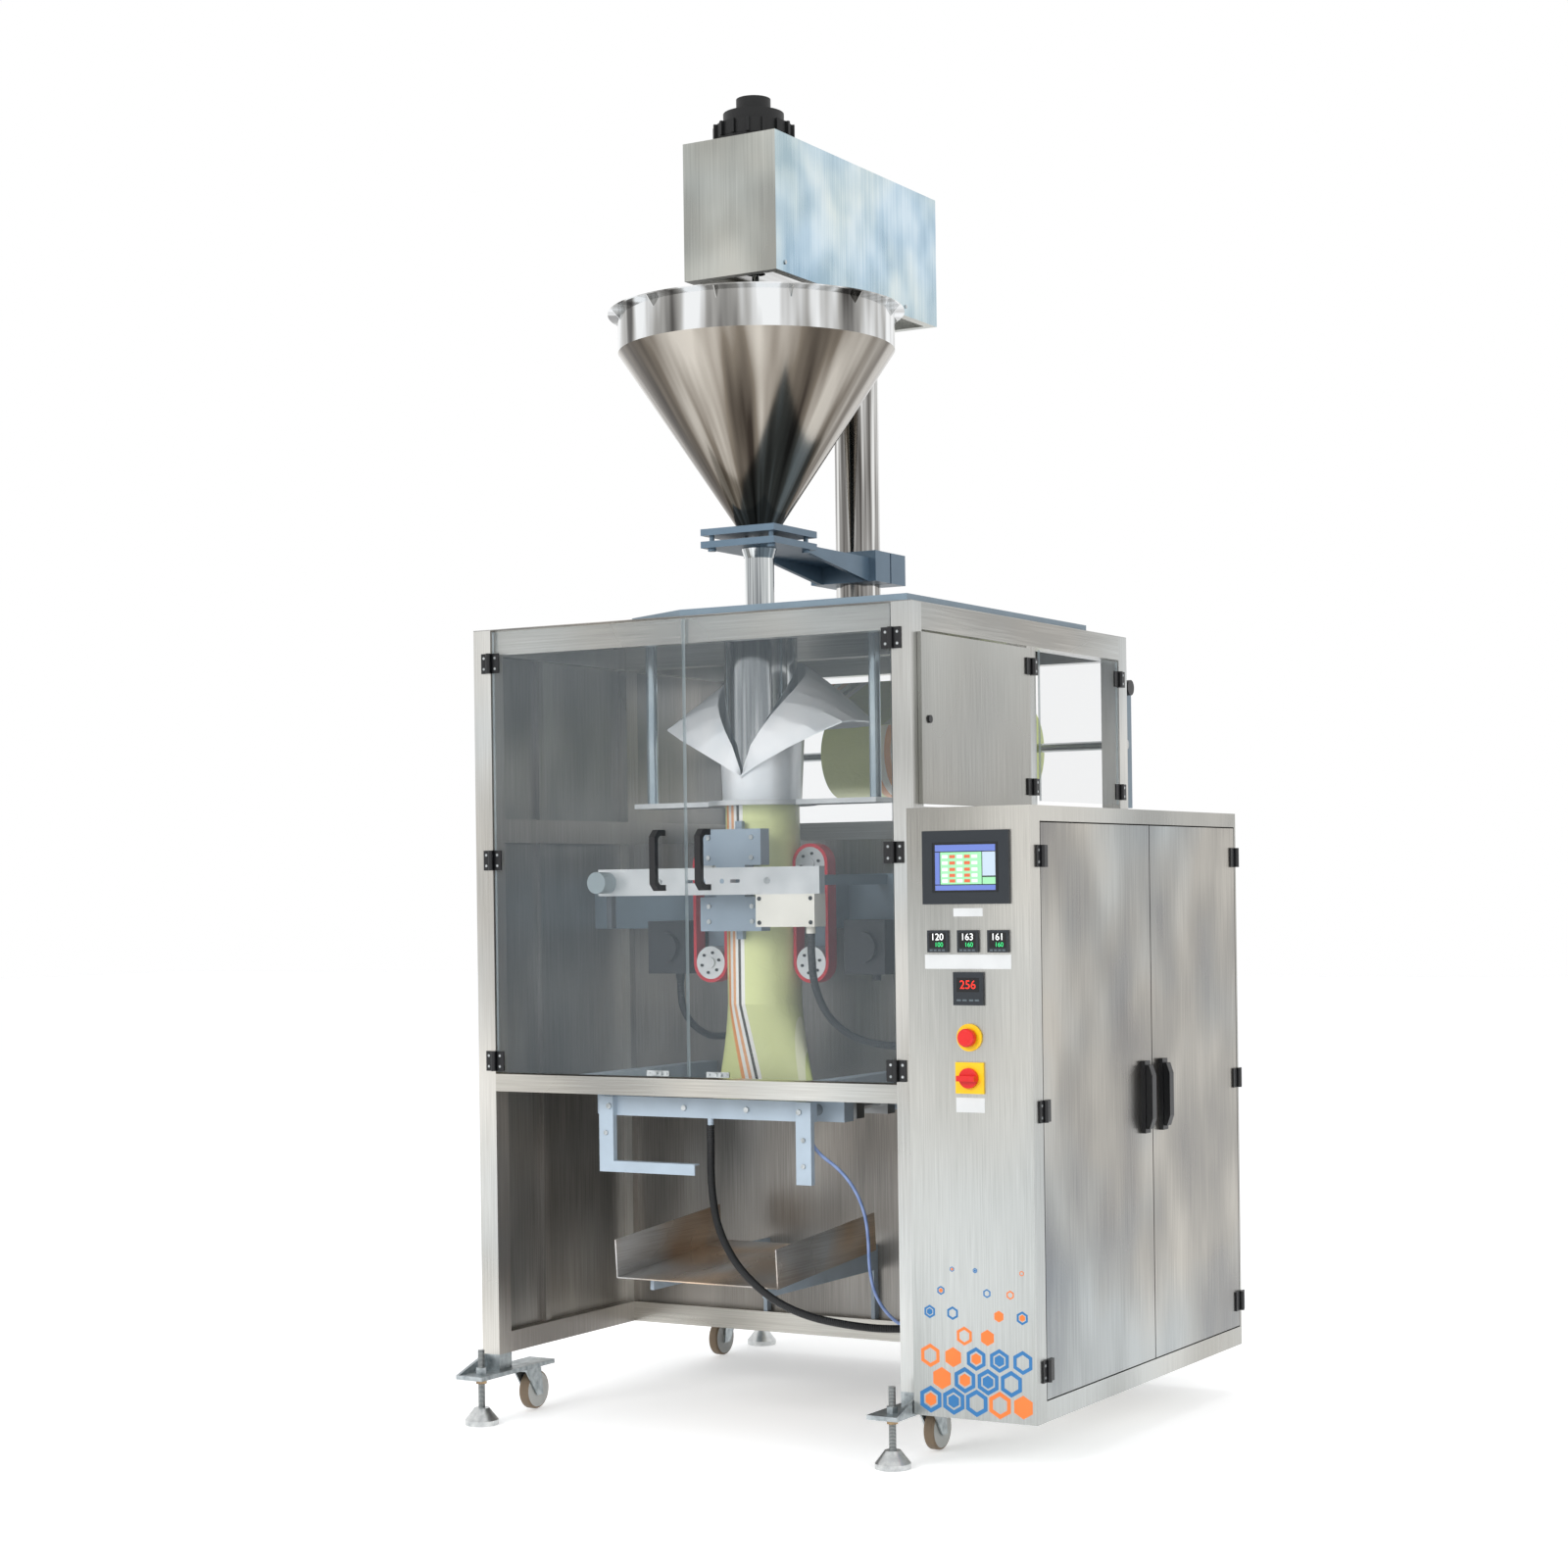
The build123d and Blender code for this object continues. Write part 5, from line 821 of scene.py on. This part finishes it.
def foil_shape(bm, x, z, radius, width=0.0):
    """One flat six-sided foil shape; a width of zero makes it solid."""
    made = bmesh.ops.create_circle(bm, cap_ends=True, segments=6, radius=radius / 1000)
    faces = [face for face in bm.faces if all(v in made["verts"] for v in face.verts)]
    bmesh.ops.rotate(bm, cent=(0, 0, 0), matrix=to_front, verts=made["verts"])
    verts = list(made["verts"])
    if width:
        before = set(bm.faces)
        bmesh.ops.inset_region(bm, faces=faces, thickness=width / 1000, use_boundary=True,
                               use_even_offset=True)
        verts = list({v for face in set(bm.faces) - before | set(faces) for v in face.verts})
        bmesh.ops.delete(bm, geom=faces, context="FACES_ONLY")
    bmesh.ops.translate(bm, vec=metres(x, cabinet_skin - foil_lift, z), verts=verts)


foil_colours = {"blue": "#2f74ad", "orange": "#ef7f3a"}
foil = {colour: bmesh.new() for colour in foil_colours}
# Each kind of cell: the colour of its ring and the colour of its core
cell_kinds = [("blue", "orange"), ("orange", None), ("blue", "blue"), (None, "orange"), ("blue", None)]
cell_radii = [30.0, 29.0, 26.0, 21.0, 15.0, 10.0, 6.0]
cell_pitch, row_pitch = 56.0, 48.0
first_cell_x, first_cell_z = 642.0, 154.0
ring_share, core_share, bare_core_share = 0.3, 0.5, 0.85
for row, radius in enumerate(cell_radii):
    for column in range(5 - row % 2):
        if row > 2 and (row + column) % 3 == 0:
            continue
        x = first_cell_x + cell_pitch * (column + row % 2 / 2)
        z = first_cell_z + row_pitch * row
        ring, core = cell_kinds[(column * 2 + row * 3) % len(cell_kinds)]
        if ring:
            foil_shape(foil[ring], x, z, radius, radius * ring_share)
        if core:
            foil_shape(foil[core], x, z, radius * (core_share if ring else bare_core_share))
for name, bm in foil.items():
    bmesh.ops.solidify(bm, geom=list(bm.faces), thickness=foil_lift / 1000)
    cut_vinyl = moulded(f"cut_vinyl_{name}", foil_colours[name], roughness=0.4, grain=0.0)
    finish_piece(f"foil_{name}", bm, cut_vinyl)


# Cabinet devices: each housing has a black moulded fascia, a terminal strip and its screws.
# The top row are drives with a keypad, the others power supplies, contactors and relays.
def pin(bm, x, y, z, turn, radius, height, facets):
    """Adds a round or six-sided boss round a middle; turn carries Z to the way it points."""
    made = bmesh.ops.create_cone(bm, cap_ends=True, segments=facets, radius1=radius / 1000,
                                 radius2=radius / 1000, depth=height / 1000)
    bmesh.ops.rotate(bm, cent=(0, 0, 0), matrix=turn, verts=made["verts"])
    bmesh.ops.translate(bm, vec=metres(x, y, z), verts=made["verts"])


to_right = Matrix.Rotation(math.radians(90), 3, "Y")
fascia_black = moulded("black_device_fascia", "#1b1e22", roughness=0.4)
terminal_green = moulded("green_terminal_strip", "#3f7d57", roughness=0.5)
terminal_brass = plated_zinc("tinned_terminal_screw", ("#a9a493", "#d8d4c6"), roughness=0.3)
unit_low, unit_high = node_box("electric_units")
# Shares of the housings: depth and width of each row from the bottom, height of each column
row_shares = [(1.0, 0.7), (0.8, 0.6), (0.5, 0.8)]
tall_shares = [0.6, 0.45, 0.55, 0.4]
unit_pitch = (unit_high.y - unit_low.y) / len(tall_shares)
unit_level = (unit_high.z - unit_low.z) / len(row_shares)
drive_row = 2
fascia_root, fascia_face = 0.5, 0.8
strip_depth, strip_height = 6.0, 16.0
fascias, strips, keys, heads = bmesh.new(), bmesh.new(), bmesh.new(), bmesh.new()
for row, (deep_share, wide_share) in enumerate(row_shares):
    face = mount_plate_face + (unit_high.x - mount_plate_face) * deep_share
    for column, tall_share in enumerate(tall_shares):
        y = unit_low.y + (column + 0.5) * unit_pitch
        z = unit_low.z + (row + 0.5) * unit_level
        wide = unit_pitch * wide_share / 2
        tall = unit_level * tall_share / 2
        if row == drive_row:
            across, low, high = wide * 0.6, z, z + tall * 0.75
            for step in [-0.4, 0.0, 0.4]:
                key = y + wide * step
                bar(keys, face + fascia_root, face + 1.2, key - 8, key + 8, z + 8, z + 20)
        else:
            across, low, high = wide * 0.8, z - tall * 0.3, z + tall * 0.3
        bar(fascias, face - fascia_root, face + fascia_face, y - across, y + across, low, high)
        bottom = z - tall
        bar(strips, face - strip_depth, face - 0.2, y - wide * 0.9, y + wide * 0.9,
            bottom - strip_height, bottom - 0.2)
        for step in range(-3, 4):
            pin(heads, face - 0.4, y + wide * 0.25 * step, bottom - strip_height / 2, to_right,
                radius=4.0, height=1.6, facets=10)
finish_piece("device_fascias", fascias, fascia_black)
finish_piece("device_terminal_strips", strips, terminal_green)
finish_piece("drive_keys", keys, key_grey)
finish_piece("terminal_screws", heads, terminal_brass)


# Pulleys: a ring of six cap screws of black oxide steel round the centre cap of each belt pulley.
# They clamp the pulley's flange to its hub and turn with it.
screw_dark = moulded("black_oxide_screw", "#1b1d20", roughness=0.4, grain=0.2, grain_mm=1.0, metallic=0.5)
pulley_screw_ring = 25.0
flange_depth = 5.0
screw_seat = 1.6
first_screw_turn = 15
for name in pulleys:
    middle = node_middle(name)
    screw_y = node_box(name)[0].y + flange_depth - screw_seat
    bm = bmesh.new()
    for turn in range(6):
        angle = math.radians(turn * 60 + first_screw_turn)
        pin(bm, middle.x + pulley_screw_ring * math.cos(angle), screw_y,
            middle.z + pulley_screw_ring * math.sin(angle), to_front, radius=3.6, height=4.0, facets=12)
    finish_piece(f"{name}_screws", bm, screw_dark, name)


# Hinge screws: two flat heads of plated steel to a leaf, against the black polyamide.
# Those in the fixed leaves sit on the posts and the cabinet; of the moving leaves, only the front
# doors' show theirs, which turn with the doors.
def hinge_heads(bm, x, y, z, steps, turn):
    """The two screw heads of one hinge leaf, above the hinge's lower end."""
    for step in steps:
        pin(bm, x, y, z + step, turn, radius=3.2, height=0.8, facets=12)


screw_zinc = plated_zinc("zinc_plated_screw", ("#9aa0a2", "#d5d9da"), roughness=0.3)
front_hinge_levels = [845.0, 1330.0, 1806.0]
cabinet_hinge_levels = [204.0, 764.0, 1316.0]
side_hinge_levels = [1492.0, 1780.0]
large_hinge_steps = [11.0, 37.0]
small_hinge_steps = [9.0, 31.0]
post_leaf_x, post_leaf_y = 567.0, -4.2
door_leaf_x, door_leaf_y = 536.0, -2.2
cabinet_leaf_x = 903.2
cabinet_leaf_ys = [2.0, 1169.0]
side_leaf_places = [(616.7, 609.0), (612.7, 1135.0)]
fixed_heads = bmesh.new()
for sign, door in [(-1, "front_door_left"), (1, "front_door_right")]:
    door_heads = bmesh.new()
    for z in front_hinge_levels:
        hinge_heads(fixed_heads, sign * post_leaf_x, post_leaf_y, z, large_hinge_steps, to_front)
        hinge_heads(door_heads, sign * door_leaf_x, door_leaf_y, z, large_hinge_steps, to_front)
    finish_piece(f"{door}_hinge_screws", door_heads, screw_zinc, door)
for y in cabinet_leaf_ys:
    for z in cabinet_hinge_levels:
        hinge_heads(fixed_heads, cabinet_leaf_x, y, z, large_hinge_steps, to_right)
for x, y in side_leaf_places:
    for z in side_hinge_levels:
        hinge_heads(fixed_heads, x, y, z, small_hinge_steps, to_right)
finish_piece("fixed_hinge_screws", fixed_heads, screw_zinc)


# Junction box: four dark round-headed screws hold the moulded lid at its corners.
# They are black oxide steel and stand just proud of the lid.
lid_front = node_box("junction_box")[0].y
lid_screw_columns, lid_screw_rows = [129.0, 267.0], [1198.0, 1254.0]
bm = bmesh.new()
for x in lid_screw_columns:
    for z in lid_screw_rows:
        pin(bm, x, lid_front, z, to_front, radius=5.0, height=1.6, facets=16)
finish_piece("junction_box_screws", bm, screw_dark)


# Door catches: a small zinc plate with a nib at the foot of each clear door.
# It is pressed strip, held by two screws, with a raised case that the round nib stands on.
catches = {"front_door_left": (-113.0, -51.0), "front_door_right": (52.0, 113.0)}
catch_z = 849.5
strip_front, strip_back, strip_half = -1.0, 2.4, 6.5
case_front, case_back, case_half = -7.0, -0.8, 4.5
case_inset, screw_inset = 18, 7
nib_y, strip_screw_y = -9.0, -1.6
for door, (x0, x1) in catches.items():
    bm = bmesh.new()
    bar(bm, x0, x1, strip_front, strip_back, catch_z - strip_half, catch_z + strip_half)
    bar(bm, x0 + case_inset, x1 - case_inset, case_front, case_back, catch_z - case_half,
        catch_z + case_half)
    pin(bm, (x0 + x1) / 2, nib_y, catch_z, to_front, radius=4.0, height=6.0, facets=16)
    for x in [x0 + screw_inset, x1 - screw_inset]:
        pin(bm, x, strip_screw_y, catch_z, to_front, radius=3.0, height=1.6, facets=12)
    finish_piece(f"{door}_catch", bm, screw_zinc, door)


# Screws that hold the drive cover, the yoke's bar and legs, the seal bar and the sealer block.
# They are plated steel, round on the cover and hexagon elsewhere, tight on the face that each holds.
cover_screw_x, cover_screw_ys, cover_screw_z = 130.2, [276.0, 886.0], 2768.0
yoke_bar_screws, yoke_bar_z = [(-262.0, 59.6), (-60.0, 75.6), (112.0, 75.6), (262.0, 59.6)], 764.0
yoke_leg_screws, yoke_leg_y = [(-272.0, 700.0), (272.0, 700.0), (272.0, 640.0)], 60.6
seal_bar_columns, seal_bar_y, seal_bar_z = [-150.0, 150.0], 118.0, 1296.0
block_columns, block_y, block_rows = [-60.0, 60.0], 198.4, [1200.0, 1236.0, 1352.0, 1400.0]
bm = bmesh.new()
for y in cover_screw_ys:
    pin(bm, cover_screw_x, y, cover_screw_z, to_right, radius=5.0, height=3.0, facets=16)
for x, y in yoke_bar_screws:
    pin(bm, x, y, yoke_bar_z, to_front, radius=7.0, height=5.6, facets=6)
for x, z in yoke_leg_screws:
    pin(bm, x, yoke_leg_y, z, to_front, radius=6.0, height=4.0, facets=6)
for x in seal_bar_columns:
    pin(bm, x, seal_bar_y, seal_bar_z, to_front, radius=8.0, height=5.0, facets=6)
finish_piece("hexagon_screws", bm, screw_zinc)
bm = bmesh.new()
for x in block_columns:
    for z in block_rows:
        pin(bm, x, block_y, z, to_front, radius=6.0, height=4.0, facets=6)
finish_piece("sealer_screws", bm, screw_zinc, "vertical_sealer")
